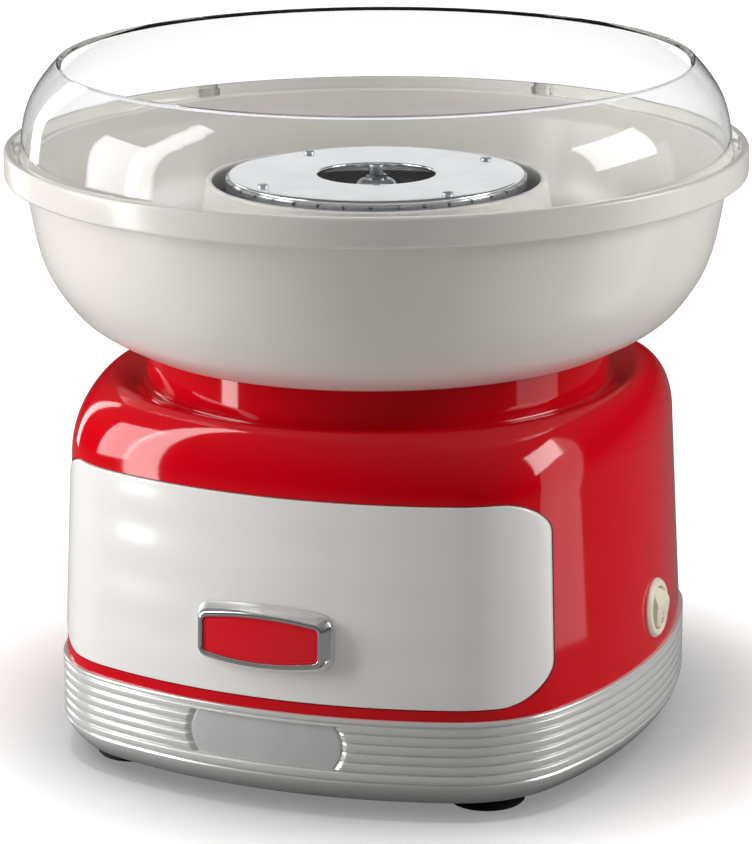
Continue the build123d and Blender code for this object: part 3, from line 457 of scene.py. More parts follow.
def plate_outline(inset):
    """Nameplate outline, moved in by an inset: level long edges, and ends on a parabola that bows
    outwards."""
    half, height = name_half - inset, name_height - inset
    up = np.linspace(-height, height, 9)
    bow = half - name_bow * (up / height) ** 2
    right = np.stack([bow, name_z + up, np.where(np.abs(up) == height, 0.6, 0.0)], 1)
    left = right[::-1] * np.array([-1, 1, 1])
    return evenly(rounded(np.vstack([right, left])), 240)


def front_sheet(outline, middle_z, rows, half_of=half_at):
    """Grid over the front face: each row is the outline moved in by an inset, drawn towards its middle by
    a share and laid on the face at an offset."""
    layers = []
    for share, inset, offset in rows:
        across, up = outline(inset).T * share + np.array([[0], [middle_z * (1 - share)]])
        layers.append(np.stack([across, front_y(across, half_of(up) + offset), up], -1))
    return np.stack(layers)


def edge_rows(offset, radius, steps=5):
    """Rows of a rounded front edge: a quarter circle from the side wall to the face."""
    turn = np.linspace(0, TURN / 4, steps)
    return [(1, radius * (1 - np.cos(t)), offset - radius * (1 - np.sin(t))) for t in turn]


def shares(count):
    """Even shares from the middle to the edge, with the edge left out."""
    return np.linspace(0, 1, count, endpoint=False)


def frame_at(place, azimuth):
    """Matrix of a frame on the drafted side whose Z points out, at an azimuth from +X, and whose X points
    down."""
    out = Vector((cos(azimuth) * cos(draft), sin(azimuth) * cos(draft), sin(draft)))
    across = Vector((-sin(azimuth), cos(azimuth), 0))
    down = across.cross(out)
    matrix = Matrix((down, across, out)).transposed().to_4x4()
    matrix.translation = Vector(place)
    return matrix


def hole_grid(radius, place, azimuth):
    """Round cutter through the wall: a closed barrel with a pole at each end."""
    reach = 3 * housing_wall
    profile = [(0, -reach), (radius, -reach), (radius, reach), (0, reach)]
    return placed(turned(profile, all_round(48)), frame_at(place, azimuth))


def make_housing():
    """Moulded shell with its posts, then the panel's pocket and the two round holes cut out of it."""
    pocket_rows = [(share, -panel_gap, -panel_depth) for share in shares(26)]
    pocket_rows += [(1, -panel_gap, -panel_depth), (1, -panel_gap, pocket_reach)]
    pocket_rows += [(share, -panel_gap, pocket_reach) for share in shares(26)[::-1]]
    pocket = front_sheet(panel_outline, (panel_low + panel_high) / 2, pocket_rows)
    switch_hole = hole_grid(switch_barrel + 0.1, (half_at(switch_z), switch_y, switch_z), 0.0)
    cord_hole = hole_grid(inlet_hole, (0, half_at(inlet_z), inlet_z), TURN / 4)
    cutter = bpy.data.objects.new("cutter", solid_mesh(
        "cutter", [(pocket, False), (switch_hole, False), (cord_hole, False)]))
    shell = bpy.data.objects.new("shell", solid_mesh("shell", [(housing_grid(), True)]))
    for each in (shell, cutter):
        bpy.context.scene.collection.objects.link(each)
    cut = shell.modifiers.new("cut", "BOOLEAN")
    cut.object, cut.operation, cut.solver = cutter, "DIFFERENCE", "EXACT"
    bpy.context.view_layer.update()
    mesh = bpy.data.meshes.new_from_object(shell.evaluated_get(bpy.context.evaluated_depsgraph_get()))
    mesh.name = "housing_shell"
    for each in (shell, cutter):
        bpy.data.objects.remove(each)
    mesh.materials.clear()
    mesh.shade_smooth()
    mesh.set_sharp_from_angle(angle=radians(CREASE))
    finish = red_gloss()
    housing = piece("housing_shell", mesh, "base", "red_housing", finish, "housing")
    posts = grid_piece("housing_posts", post_grids(), "base", "red_housing", finish)
    return housing, posts


def make_panel():
    """Front panel: back, side wall, rounded edge and face, all on the housing's own front surface. The
    face waves gently: it sinks by the wave depth times one minus the cosine of the height, fading to the
    edge."""
    back = -panel_depth + 0.05
    rows = [(share, 0, back) for share in shares(12)] + [(1, 0, back)]
    rows += edge_rows(panel_proud, panel_edge)
    rows += [(share, panel_edge, panel_proud) for share in shares(44)[::-1]]
    grid = front_sheet(panel_outline, (panel_low + panel_high) / 2, rows)
    fade = np.array([(1 - share ** 6) * (offset == panel_proud) for share, inset, offset in rows])[:, None]
    grid[:, :, 1] += wave_depth * fade * (1 - np.cos(TURN * (grid[:, :, 2] - wave_crest) / wave_pitch))
    return grid_piece("front_panel_sheet", [(grid, False)], "base", "pearl_panel", pearl_white(),
                      "front_panel")


def make_badge():
    """Chromed bezel, a rounded frame that widens towards its foot, and the crowned insert in its
    window."""
    top = panel_proud + bezel_proud
    foot = panel_proud + 0.02
    section = rounded([(bezel_band, insert_seat, 0.05), (bezel_band, top - 0.35, 0.2),
                       (bezel_band - 0.8, top, 0.5), (bezel_band - 1.6, top - 0.15, 1.2), (0.3, top - 1.5, 3),
                       (-bezel_flare * 0.8, top - 4.2, 3), (-bezel_flare, panel_proud + 0.6, 1),
                       (-bezel_flare, foot, 0.05), (bezel_band, foot, 0.05)])
    frame_grid = front_sheet(barrel_outline, badge_z, [(1, inset, offset) for inset, offset in section])
    bezel = grid_piece("badge_frame", [(frame_grid, True)], "base", "chrome_trim", chrome(), "badge_bezel",
                       crease=PLATED_CREASE)
    face = top - insert_drop - insert_crown
    rim = bezel_band + 0.02
    rows = [(share, rim, insert_seat + panel_proud) for share in shares(6)]
    rows += [(1, rim, insert_seat + panel_proud), (1, rim, face), (1, rim + 0.25, face + 0.25),
             (1, rim + 1.0, face + 0.3), (1, rim + 1.15, face + 0.1), (1, rim + 1.35, face + 0.1)]
    rows += [(share, rim + 1.5, face + 0.25 + (insert_crown - 0.25) * (1 - share ** 2))
             for share in np.append(shares(14), 1)[::-1]]
    insert_grid = front_sheet(barrel_outline, badge_z, rows)
    insert = grid_piece("badge_crown", [(insert_grid, False)], "base", "red_insert", red_enamel(),
                        "badge_insert")
    return bezel, insert


def make_nameplate():
    """Thin plate with softly rounded edges in the plinth's recess."""
    back, face = -recess_depth, name_thickness - recess_depth
    rows = [(share, 0, back) for share in shares(6)] + [(1, 0, back)] + edge_rows(face, 0.35)
    rows += [(share, 0.35, face) for share in shares(24)[::-1]]
    grid = front_sheet(plate_outline, name_z, rows, half_of=lambda z: plinth_half + 0 * z)
    return grid_piece("nameplate_sheet", [(grid, False)], "base", "silver_plate", brushed_plate(),
                      "nameplate")


def make_plinth():
    """Band carried round the outline: rolled lip, six ribs, bead and the inside with its ledge. In front
    the ribs sink to the nameplate's recess: the offset is the rib's times a smooth ramp, plus the
    recess's times the rest."""
    foot = plinth_bottom
    ribs = foot + lip_height
    turn = np.linspace(0, TURN / 4, 14)
    lip = np.stack([-rib_depth / 2 - lip_undercut * (1 - np.sin(turn)) ** 1.5,
                    foot + (lip_height - rib_chamfer) * np.sin(turn), 0 * turn], 1)
    low = ribs + rib_pitch * np.arange(rib_count)[:, None]
    steps = np.array([(-rib_depth, 0.0, 0.12), (-0.12, rib_chamfer, 0.3), (0, rib_pitch / 2, 0.0),
                      (-0.12, rib_pitch - rib_chamfer, 0.3)])
    rib = np.stack([np.broadcast_to(steps[:, 0], (rib_count, 4)), low + steps[:, 1],
                    np.broadcast_to(steps[:, 2], (rib_count, 4))], -1).reshape(-1, 3)
    bead = [(-rib_depth, plinth_top - bead_height, 0.12), (0, plinth_top - bead_height + rib_chamfer, 0.3),
            (0, plinth_top, 0.6), (-2.0, plinth_top, 0)]
    outer = rounded(np.vstack([lip, rib, bead]), closed=False, steps=4)
    recess_edges = [name_z + side * (name_height + step) for side in (-1, 1) for step in (-0.02, 0.02)]
    z = np.sort(np.concatenate([outer[:, 1], recess_edges]))
    offset = np.interp(z, outer[:, 1], outer[:, 0])
    near = np.linspace(name_half - 6, name_half + 6, 40)
    angle = columns(360, np.arctan2(-plinth_half, np.concatenate([-near, near])))
    x = plinth_half / np.abs(np.sin(angle)) * np.cos(angle)
    front = (np.sin(angle) < 0) & (np.abs(x) < 2 * name_half)
    inside = np.abs(z - name_z) <= name_height
    edge = name_half + 0.3 - name_bow * ((z - name_z) / name_height) ** 2
    ramp = np.clip((np.abs(x)[None, :] - edge[:, None]) / recess_margin, 0, 1)
    ramp = ramp ** 2 * (3 - 2 * ramp)
    ramp = np.where(front[None, :] & inside[:, None], ramp, 1.0)
    grooved = offset[:, None] * ramp - recess_depth * (1 - ramp)
    face = np.stack([plan_radius(angle[None, :], plinth_half + grooved), z[:, None] + 0 * grooved], -1)
    inner = plinth_half - lip_undercut - plinth_wall
    high, low, ledge = foot + ledge_high, foot + ledge_low, inner - ledge_width
    rest = rounded([(plinth_half - 2, plinth_top, 0), (inner, plinth_top, 0.4), (inner, high, 0.3),
                    (ledge, high, 0.3), (ledge, low, 0.3), (inner, low, 0.1), (inner, foot, 0.1),
                    (inner + 1, foot, 0)], closed=False, steps=3)[1:]
    inward = np.stack([plan_radius(angle[None, :], rest[:, :1]), rest[:, 1:] + 0 * angle], -1)
    grid = turned(np.concatenate([face, inward]), angle)
    return grid_piece("plinth_band", [(grid, True)], "base", "silver_plinth", silver_paint(), "plinth")


# ---------------------------------------------------------------- switch

def make_switch():
    """Rolled bezel with its barrel, turned about the switch's own axis."""
    section = rounded([(cup_radius, -cup_depth, 0.3), (cup_radius, bezel_thickness, 0.8),
                       (switch_bezel - 1.2, bezel_thickness - 0.1, 1.2), (switch_bezel, 0.7, 0.6),
                       (switch_bezel, 0.0, 0.05), (switch_barrel, 0.0, 0.05),
                       (switch_barrel, -switch_length, 0.6), (0.01, -switch_length, 0.0)], closed=False)
    profile = np.vstack([[(0, -cup_depth)], section, [(0, -switch_length)]])
    grid = placed(turned(profile, all_round(96)),
                  frame_at((half_at(switch_z), switch_y, switch_z), 0.0))
    return grid_piece("switch_ring", [(grid, False)], "base", "ivory_plastic", ivory(), "switch_body")


def rocker_face(x):
    """Height of the rocker at a place down it: it falls gently below the ridge and steeply above it, with
    the ridge rounded by the root of the square plus a small square."""
    off = x - ridge_place
    soft = np.sqrt(off ** 2 + 0.3)
    return bezel_thickness + rocker_crown - fall_below * (soft + off) / 2 - fall_above * (soft - off) / 2


def make_rocker():
    """Round rocker: a disc grid whose height is that of two planes meeting in a ridge, with two pins, and
    two small generic marks, a ring and a bar."""
    angle = all_round(72)
    share = np.append(shares(14), 1)[::-1, None]
    turn = np.linspace(0, TURN / 4, 5)[:, None]
    clear = np.sqrt((cup_radius - swing_gap) ** 2 - rocker_face(rocker_radius * np.cos(angle)) ** 2)
    edge = np.minimum(clear, rocker_radius)         # so that the face swings inside the well
    radius = np.vstack([np.array([[0], [0.5], [1]]) * rocker_radius + 0 * angle,
                        edge - rocker_edge * (1 - np.cos(turn)), share * (edge - rocker_edge)])
    level = np.vstack([np.ones((3, 1)), rocker_edge * (1 - np.sin(turn)), 0 * share])
    x, y = radius * np.cos(angle), radius * np.sin(angle)
    foot = bezel_thickness - rocker_depth
    height = np.where(level < 0.99, rocker_face(x) - level, foot)
    matrix = frame_at((half_at(switch_z), switch_y, switch_z), 0.0)
    body = placed(np.stack([x, y, height], -1), matrix)
    reach = switch_barrel - 0.2
    pin = turned([(0, -reach), (pivot_radius, -reach), (pivot_radius, reach), (0, reach)],
                 all_round(24))
    pin = placed(pin[:, :, [0, 2, 1]], matrix)
    cap = grid_piece("rocker_cap", [(body, False), (pin, False)], "rocker", "ivory_plastic", ivory(),
                     "rocker")
    band = rounded([(ring_inner, 0, 0), (ring_outer, 0, 0), (ring_outer, mark_height, 0),
                    (ring_inner, mark_height, 0)], steps=2)
    ring = turned(band, all_round(32)) + np.array([ring_place, 0, 0])
    bar = turned([(0, 0), (bar_radius, 0), (bar_radius, mark_height), (0, mark_height)], all_round(32))
    bar = bar * np.array([bar_stretch, 1, 1]) + np.array([bar_place, 0, 0])
    for grid in (ring, bar):
        grid[:, :, 2] += rocker_face(grid[:, :, 0]) - 0.01
    marks = grid_piece("rocker_marks", [(placed(ring, matrix), True), (placed(bar, matrix), False)], "rocker",
                       "black_plastic", plain_moulding("mark_grey", (96, 92, 88)))
    return cap, marks


# ---------------------------------------------------------------- spinner head, bowl and guard

def make_head_plate():
    """Polished disc, very slightly dished, with a rolled edge outside and round the sugar opening."""
    low, outer = head_top - plate_thickness, plate_outer_radius
    profile = rounded([(head_hole, low, 0.1), (outer, low, 0.1), (outer, head_top, plate_roll),
                       (outer - 5, head_top - 0.02, 6), (head_hole + 4, head_top - 0.12, 6),
                       (head_hole, head_top - 0.05, plate_roll)], steps=7)
    grid = turned(profile, all_round(180))
    return grid_piece("head_disc", [(grid, True)], "head", "polished_plate", mirror_steel(), "head_plate",
                      crease=PLATED_CREASE)


def make_bowl():
    """Closed profile turned about the axis: skirt, belly curve, flange, ledge, the inside one wall
    further in, floor and hollow cone with a rolled lip. The ledge's radius grows by the notch's depth
    within six narrow sectors."""
    rise = flange_top - bowl_bottom - flange_height
    outer = smooth_through([(skirt_outer + (belly_radius - skirt_outer) * out, bowl_bottom + rise * up)
                            for out, up in belly_curve], 44)
    inner = moved_square(outer, bowl_wall)
    floor = bowl_floor + bowl_wall
    inner = inner[inner[:, 1] > floor + 3]
    ledge_z = flange_top - ledge_drop
    under = flange_top - flange_height
    rim = rounded([(*outer[-1], 0), (flange_radius, under, 1.6), (flange_radius, flange_top, 1.6),
                   (ledge_radius, flange_top, 0.6), (ledge_radius, ledge_z, 0.4),
                   (inner[-1, 0], ledge_z, 0.8), (*inner[-1], 0)], closed=False, steps=7)[1:]
    centre = rounded([(*inner[0], 0), (inner[0, 0] - 5, floor, 4), (cone_foot + 1, floor, 3),
                      (mouth_radius + bowl_wall, lip_z - lip_roll, 3), (mouth_radius + bowl_wall, lip_z, 1.2),
                      (mouth_radius, lip_z, 1.2), (mouth_radius, lip_z - lip_roll, 1),
                      (cone_foot - bowl_wall, bowl_floor, 1.5), (skirt_inner, bowl_floor, 0.6),
                      (skirt_inner, bowl_bottom, 0.8), (*outer[0], 1)], closed=False, steps=7)
    profile = np.vstack([outer, rim, inner[::-1][1:], centre[1:-1]])
    edges, middle, half = key_columns(ledge_radius, key_gap)
    angle = columns(216, edges)
    near = apart(angle, middle) < half
    notch = (np.abs(profile[:, 0] - ledge_radius) < 0.5) & (profile[:, 1] > ledge_z - 0.1)
    grown = np.repeat(profile[:, None, :], len(angle), 1)
    grown[:, :, 0] += key_depth * notch[:, None] * near[None, :]
    return grid_piece("bowl_moulding", [(turned(grown, angle), True)], "bowl", "white_bowl", bowl_white(),
                      "bowl")


def make_guard():
    """Closed profile turned about the axis: foot, rounded shoulder, small roll round the opening, and the
    inside one wall further in. The foot's radius grows to the lugs' within six narrow sectors."""
    outer = smooth_through([(guard_foot - guard_inturn * into, guard_bottom + guard_height * up)
                            for into, up in guard_curve], 48)
    inner = moved_square(outer, guard_wall)
    inner = inner[inner[:, 1] > guard_bottom + 0.4]
    top, inner_top = outer[-1], inner[-1]
    roll = rounded([(*top, 0), (top[0] - guard_bead * 0.5, top[1] + guard_bead * 0.4, 0.5),
                    (inner_top[0] - guard_bead, inner_top[1] + guard_bead * 0.4, 0.7), (*inner_top, 0)],
                   closed=False)[1:]
    lug_top = guard_bottom + lug_height
    upper = outer[outer[:, 1] > lug_top + foot_edge]
    lug_root = np.interp(lug_top, outer[:, 1], outer[:, 0])
    heel = guard_foot - guard_wall
    foot = [(heel, guard_bottom + foot_edge), (heel + foot_edge, guard_bottom),
            (guard_foot - foot_edge, guard_bottom), (guard_foot, guard_bottom + foot_edge),
            (lug_root + 0.01, lug_top - foot_edge), (lug_root, lug_top)]
    lug_reach = ledge_radius + key_depth
    lug = np.array(foot)
    lug[2:5, 0] = [lug_reach - foot_edge, lug_reach, lug_reach]
    edges, middle, half = key_columns(guard_foot)
    angle = columns(216, edges)
    near = apart(angle, middle) < half
    low = np.where(near[None, :, None], lug[:, None, :], np.array(foot)[:, None, :])
    rest = np.vstack([upper, roll, inner[::-1][1:]])
    grid = turned(np.concatenate([low, np.repeat(rest[:, None, :], len(angle), 1)]), angle)
    return grid_piece("guard_wall", [(grid, True)], "guard", "clear_guard", clear_plastic(), "guard")


# ---------------------------------------------------------------- finishes

def colour(red, green, blue):
    """Linear colour of an 8-bit screen colour."""
    screen = np.array([red, green, blue]) / 255
    linear = np.where(screen <= 0.04045, screen / 12.92, ((screen + 0.055) / 1.055) ** 2.4)
    return (*linear.tolist(), 1.0)


def new_group(name, inputs):
    """Shader group that makes a colour, a roughness and a normal; gives its tree and its inputs. An input
    whose default is one number is a value, three a vector and four a colour."""
    tree = bpy.data.node_groups.new(name, "ShaderNodeTree")
    kinds = {1: "NodeSocketFloat", 3: "NodeSocketVector", 4: "NodeSocketColor"}
    for label, default in inputs.items():
        kind = kinds[np.size(default)]
        tree.interface.new_socket(label, in_out="INPUT", socket_type=kind).default_value = default
    for label, size in (("Colour", 4), ("Roughness", 1), ("Normal", 3)):
        tree.interface.new_socket(label, in_out="OUTPUT", socket_type=kinds[size])
    return tree, tree.nodes.new("NodeGroupInput").outputs


def put(tree, socket, value):
    """Give an input its value, or link it to another node's output."""
    if isinstance(value, bpy.types.NodeSocket):
        tree.links.new(value, socket)
    else:
        socket.default_value = value


def add(tree, kind, values=None, **settings):
    """New node with its settings and its inputs, each of them a value or another node's output."""
    node = tree.nodes.new(kind)
    for key, value in settings.items():
        setattr(node, key, value)
    for key, value in (values or {}).items():
        put(tree, node.inputs[key], value)
    return node


def noise(tree, scale, detail=2.0, roughness=0.5, place=None):
    """Noise over the object's own coordinates, or over a place worked out from them."""
    if place is None:
        place = add(tree, "ShaderNodeTexCoord").outputs["Object"]
    return add(tree, "ShaderNodeTexNoise", {
        "Vector": place, "Scale": scale, "Detail": detail, "Roughness": roughness}).outputs["Fac"]


def maths(tree, operation, *values):
    """Outcome of one operation on values or outputs."""
    return add(tree, "ShaderNodeMath", dict(enumerate(values)), operation=operation).outputs[0]


def seen_clearly(tree, ray):
    """One for camera rays and for rays through glass that have met no matt surface on their way."""
    either = maths(tree, "MAXIMUM", ray.outputs["Is Camera Ray"], ray.outputs["Is Transmission Ray"])
    return maths(tree, "MULTIPLY", either, maths(tree, "LESS_THAN", ray.outputs["Diffuse Depth"], 0.5))


def spread(tree, source, low, high, from_low=0.3, from_high=0.7, way="SMOOTHSTEP"):
    """A value that runs from low to high while its source runs from from_low to from_high."""
    return add(tree, "ShaderNodeMapRange", {
        "Value": source, "From Min": from_low, "From Max": from_high, "To Min": low, "To Max": high},
        interpolation_type=way).outputs[0]


def tinted(tree, factor, first, second):
    """Mix of two colours; each is a colour or a socket."""
    return add(tree, "ShaderNodeMix", {0: factor, 6: first, 7: second}, data_type="RGBA").outputs[2]


def blended(tree, factor, first, second):
    """Mix of two numbers; each is a number or a socket."""
    return add(tree, "ShaderNodeMix", {0: factor, 2: first, 3: second}, data_type="FLOAT").outputs[0]


def upward(tree, source):
    """Z of a direction."""
    return add(tree, "ShaderNodeSeparateXYZ", {0: source}).outputs["Z"]


def bump(tree, height, distance, strength):
    """Bump node over a height."""
    return add(tree, "ShaderNodeBump", {"Height": height, "Distance": distance, "Strength": strength})


def moulding_effect():
    """Moulded plastic: slow shade changes, faint flow ripple, fine skin, and dust where it faces up."""
    tree, given = new_group("moulded_skin", {
        "Colour": (0.8, 0.8, 0.8, 1), "Deep Colour": (0.7, 0.7, 0.7, 1), "Gloss Low": 0.1, "Gloss High": 0.2,
        "Skin Depth": 0.02, "Dust": 0.05})
    shade = spread(tree, noise(tree, 7.0, 1.0), 0.0, 1.0, 0.2, 0.8)
    base = tinted(tree, shade, given["Colour"], given["Deep Colour"])
    facing = add(tree, "ShaderNodeNewGeometry").outputs["Normal"]
    up = spread(tree, upward(tree, facing), 0.0, 1.0, 0.55, 1.0)
    fleck = spread(tree, noise(tree, 420.0, 4.0, 0.7), 0.0, 1.0, 0.5, 0.75)
    dust = maths(tree, "MULTIPLY", maths(tree, "MULTIPLY", up, fleck), given["Dust"])
    gloss = spread(tree, noise(tree, 22.0, 3.0), given["Gloss Low"], given["Gloss High"], 0.2, 0.8)
    wavy = bump(tree, noise(tree, 38.0, 1.0), 0.0004, 0.02)
    skin = bump(tree, noise(tree, 1500.0, 2.0), 0.0001, given["Skin Depth"])
    put(tree, wavy.inputs["Normal"], skin.outputs[0])
    add(tree, "NodeGroupOutput", {"Colour": tinted(tree, dust, base, (0.62, 0.6, 0.57, 1)),
                                  "Roughness": maths(tree, "ADD", gloss, dust), "Normal": wavy.outputs[0]})
    return tree


def metal_effect():
    """Worked metal: fine lines drawn out along one axis, cloudy tarnish, and a roughness that follows
    both."""
    tree, given = new_group("worked_metal", {
        "Colour": (0.6, 0.6, 0.6, 1), "Dull Colour": (0.4, 0.4, 0.4, 1), "Line Density": (40.0, 40.0, 2500.0),
        "Line Depth": 0.1, "Gloss Low": 0.2, "Gloss High": 0.4})
    place = add(tree, "ShaderNodeTexCoord").outputs["Object"]
    drawn = add(tree, "ShaderNodeVectorMath", {0: place, 1: given["Line Density"]}, operation="MULTIPLY")
    lines = noise(tree, 1.0, 3.0, 0.6, drawn.outputs[0])
    cloud = noise(tree, 34.0, 4.0, 0.6)
    base = tinted(tree, spread(tree, cloud, 0.0, 1.0), given["Colour"], given["Dull Colour"])
    gloss = spread(tree, maths(tree, "MULTIPLY", lines, cloud), given["Gloss Low"], given["Gloss High"],
                   0.12, 0.4, "LINEAR")
    add(tree, "NodeGroupOutput", {"Colour": base, "Roughness": gloss,
                                  "Normal": bump(tree, lines, 0.0001, given["Line Depth"]).outputs[0]})
    return tree


def new_material(name, values):
    """Material, its tree and its shader, whose inputs have the given values."""
    made = bpy.data.materials.new(name)
    made.use_nodes = True
    shader = made.node_tree.nodes["Principled BSDF"]
    for label, value in values.items():
        shader.inputs[label].default_value = value
    return made, made.node_tree, shader


def finish_with(name, effect, values, **whole):
    """Material whose colour, roughness and normal come from an effect; whole-surface values sit on the
    shader."""
    made, tree, shader = new_material(name, {key.replace("_", " "): value for key, value in whole.items()})
    node = add(tree, "ShaderNodeGroup", values, node_tree=effect)
    for label, socket in (("Colour", "Base Color"), ("Roughness", "Roughness"), ("Normal", "Normal")):
        tree.links.new(node.outputs[label], shader.inputs[socket])
    return made


def moulded(name, shade, deep, gloss, depth=0.0, dust=0.0, **whole):
    """Moulded or painted surface in two near shades, whose roughness runs between the two of its
    gloss."""
    return finish_with(name, moulded_skin, {
        "Colour": colour(*shade), "Deep Colour": colour(*deep), "Gloss Low": gloss[0], "Gloss High": gloss[1],
        "Skin Depth": depth, "Dust": dust}, **whole)


moulded_skin = moulding_effect()
worked_metal = metal_effect()


def red_gloss():
    """Deep glossy red of the housing."""
    return moulded("red_gloss", (208, 1, 20), (202, 1, 18), (0.05, 0.09), depth=0.01, dust=0.012, IOR=1.48)


def red_enamel():
    """Clear-coated red of the badge."""
    return moulded("red_enamel", (226, 4, 28), (218, 3, 24), (0.16, 0.24), depth=0.02,
                   Coat_Weight=0.4, Coat_Roughness=0.08)


def pearl_white():
    """Pearl paint of the panel, with a slow mottle."""
    return moulded("pearl_white", (238, 236, 233), (232, 229, 225), (0.2, 0.23),
                   Coat_Weight=0.3, Coat_Roughness=0.1)


def bowl_white():
    """Warm glossy white of the bowl."""
    return moulded("bowl_white", (228, 224, 218), (222, 217, 210), (0.18, 0.24), dust=0.02, IOR=1.5)


def ivory():
    """Ivory moulding of the switch."""
    return moulded("ivory", (232, 224, 206), (224, 215, 196), (0.28, 0.38), depth=0.08)


def plain_moulding(name, shade, gloss=0.45, depth=0.15):
    """Plain moulded plastic or rubber in one shade."""
    darker = [int(part * 0.86) for part in shade]
    return moulded(name, shade, darker, (gloss - 0.08, gloss + 0.1), depth, dust=0.04)


def silver_paint():
    """Metallic silver paint of the plinth."""
    return moulded("silver_paint", (236, 236, 234), (229, 229, 226), (0.2, 0.26), Metallic=0.4)


def plain_metal(name, shade, dull, lines=(60.0, 60.0, 60.0), depth=0.1, gloss=(0.22, 0.42), metallic=1.0):
    """Metal in one shade with a worked surface."""
    return finish_with(name, worked_metal, {
        "Colour": colour(*shade), "Dull Colour": colour(*dull), "Line Density": lines, "Line Depth": depth,
        "Gloss Low": gloss[0], "Gloss High": gloss[1]}, Metallic=metallic)


def chrome():
    """Bright chrome of the badge's frame."""
    return plain_metal("chrome", (236, 236, 236), (228, 228, 229), (300.0, 300.0, 300.0), 0.01,
                       (0.07, 0.11), metallic=0.88)


def brushed_plate():
    """Satin plate with level brush lines."""
    return plain_metal("brushed_plate", (226, 225, 224), (217, 216, 215), (30.0, 30.0, 3200.0), 0.12,
                       (0.34, 0.44), metallic=0.4)


def mirror_steel():
    """Polished disc with the faintest turning marks."""
    return plain_metal("mirror_steel", (222, 224, 226), (212, 214, 217), (90.0, 900.0, 90.0), 0.03,
                       (0.07, 0.14))


def clear_plastic():
    """Clear guard: glass-like shell that lets lamp light through, with soft smears in its gloss."""
    made, tree, shader = new_material("clear_plastic", {
        "Base Color": (0.985, 0.99, 0.99, 1), "Transmission Weight": 1.0, "IOR": 1.36, "Metallic": 0.0})
    put(tree, shader.inputs["Roughness"], spread(tree, noise(tree, 18.0, 4.0, 0.6), 0.01, 0.05))
    put(tree, shader.inputs["Normal"], bump(tree, noise(tree, 24.0, 1.0), 0.0008, 0.05).outputs[0])
    through = add(tree, "ShaderNodeBsdfTransparent", {"Color": (0.93, 0.94, 0.94, 1)})
    shadow = add(tree, "ShaderNodeLightPath").outputs["Is Shadow Ray"]
    mix = add(tree, "ShaderNodeMixShader", {0: shadow, 1: shader.outputs[0], 2: through.outputs[0]})
    put(tree, tree.nodes["Material Output"].inputs["Surface"], mix.outputs[0])
    return made


def dress_nodes():
    """Finish of every node that keeps its own shape."""
    zinc = plain_metal("zinc_steel_worked", (190, 194, 198), (160, 163, 166))
    aluminium = plain_metal("spun_aluminium_worked", (200, 202, 204), (178, 180, 183),
                            (40.0, 40.0, 1800.0), 0.2)
    copper = plain_metal("copper_worked", (200, 120, 70), (160, 88, 52), (900.0, 900.0, 60.0), 0.3)
    bronze = plain_metal("bronze_worked", (176, 130, 70), (140, 100, 56))
    sheath = plain_metal("heater_tube_worked", (92, 86, 82), (62, 58, 56), gloss=(0.35, 0.6))
    black = plain_moulding("black_moulding", (24, 24, 25))
    rubber = plain_moulding("black_rubber_skin", (20, 20, 20), 0.7, 0.4)
    finishes = {
        zinc: ("base_screws", "motor_can", "motor_bracket", "mount_screws", "tower_screws", "pan_screws",
               "motor_shaft", "drive_pin", "armature_core", "element_clips", "thermal_cutout", "head_screws",
               "head_hub"),
        aluminium: ("heater_pan", "head_base", "heater_tower"),
        copper: ("armature_windings", "commutator"),
        bronze: ("upper_bearing", "lower_bearing"),
        sheath: ("heating_element",),
        black: ("bottom_plate", "cord_inlet_bush", "cooling_fan"),
        rubber: ("feet", "rubber_mounts"),
        plain_moulding("ferrite_block", (58, 56, 58), 0.6, 0.3): ("motor_magnets",),
        plain_moulding("carbon_block", (34, 34, 36), 0.5, 0.3): ("motor_brushes",),
        plain_moulding("green_laminate", (32, 92, 54), 0.35, 0.1): ("rectifier_board",),
        plain_moulding("cream_cap", (214, 204, 178), 0.4): ("motor_end_cap", "terminal_block"),
        plain_moulding("glazed_ceramic", (226, 222, 214), 0.25, 0.05): ("element_insulators",),
    }
    for finish, names in finishes.items():
        for name in names:
            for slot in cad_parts[name].material_slots:
                slot.material = finish


# ---------------------------------------------------------------- floor, light and camera

def pale_floor():
    """Floor's finish: near-white paper to the eye and darker to other rays, with a glow that grows away
    from the object and turns it plain white."""
    made, tree, shader = new_material("pale_floor", {"Roughness": 0.6, "Specular IOR Level": 0.1})
    shade = spread(tree, noise(tree, 60.0, 3.0), 0.0, 1.0)
    paper = tinted(tree, shade, (0.88, 0.88, 0.88, 1), (0.9, 0.9, 0.9, 1))
    ray = add(tree, "ShaderNodeLightPath")
    seen = seen_clearly(tree, ray)
    unseen = tinted(tree, ray.outputs["Is Glossy Ray"], (*[floor_as_light] * 3, 1),
                    (*[floor_in_reflections] * 3, 1))
    put(tree, shader.inputs["Base Color"], tinted(tree, seen, unseen, paper))
    place = add(tree, "ShaderNodeTexCoord").outputs["Object"]
    reach = add(tree, "ShaderNodeVectorMath", {0: place}, operation="LENGTH").outputs["Value"]
    away = spread(tree, reach, glow_near, glow_far, glow_start, glow_end)
    glow = add(tree, "ShaderNodeEmission", {"Strength": maths(tree, "MULTIPLY", away, seen)})
    both = add(tree, "ShaderNodeAddShader", {0: shader.outputs[0], 1: glow.outputs[0]})
    put(tree, tree.nodes["Material Output"].inputs["Surface"], both.outputs[0])
    return made


def make_floor():
    """Pale floor: a thin disc, its rows of faces closer together near the object."""
    profile = [(radius, -floor_drop) for radius in floor_radii]
    profile += [(floor_radii[-1], -floor_thickness), (0, -floor_thickness)]
    mesh = solid_mesh("floor", [(turned(profile, all_round(96)), False)])
    floor = bpy.data.objects.new("floor", mesh)
    bpy.context.scene.collection.objects.link(floor)
    mesh.materials.append(pale_floor())
    return floor


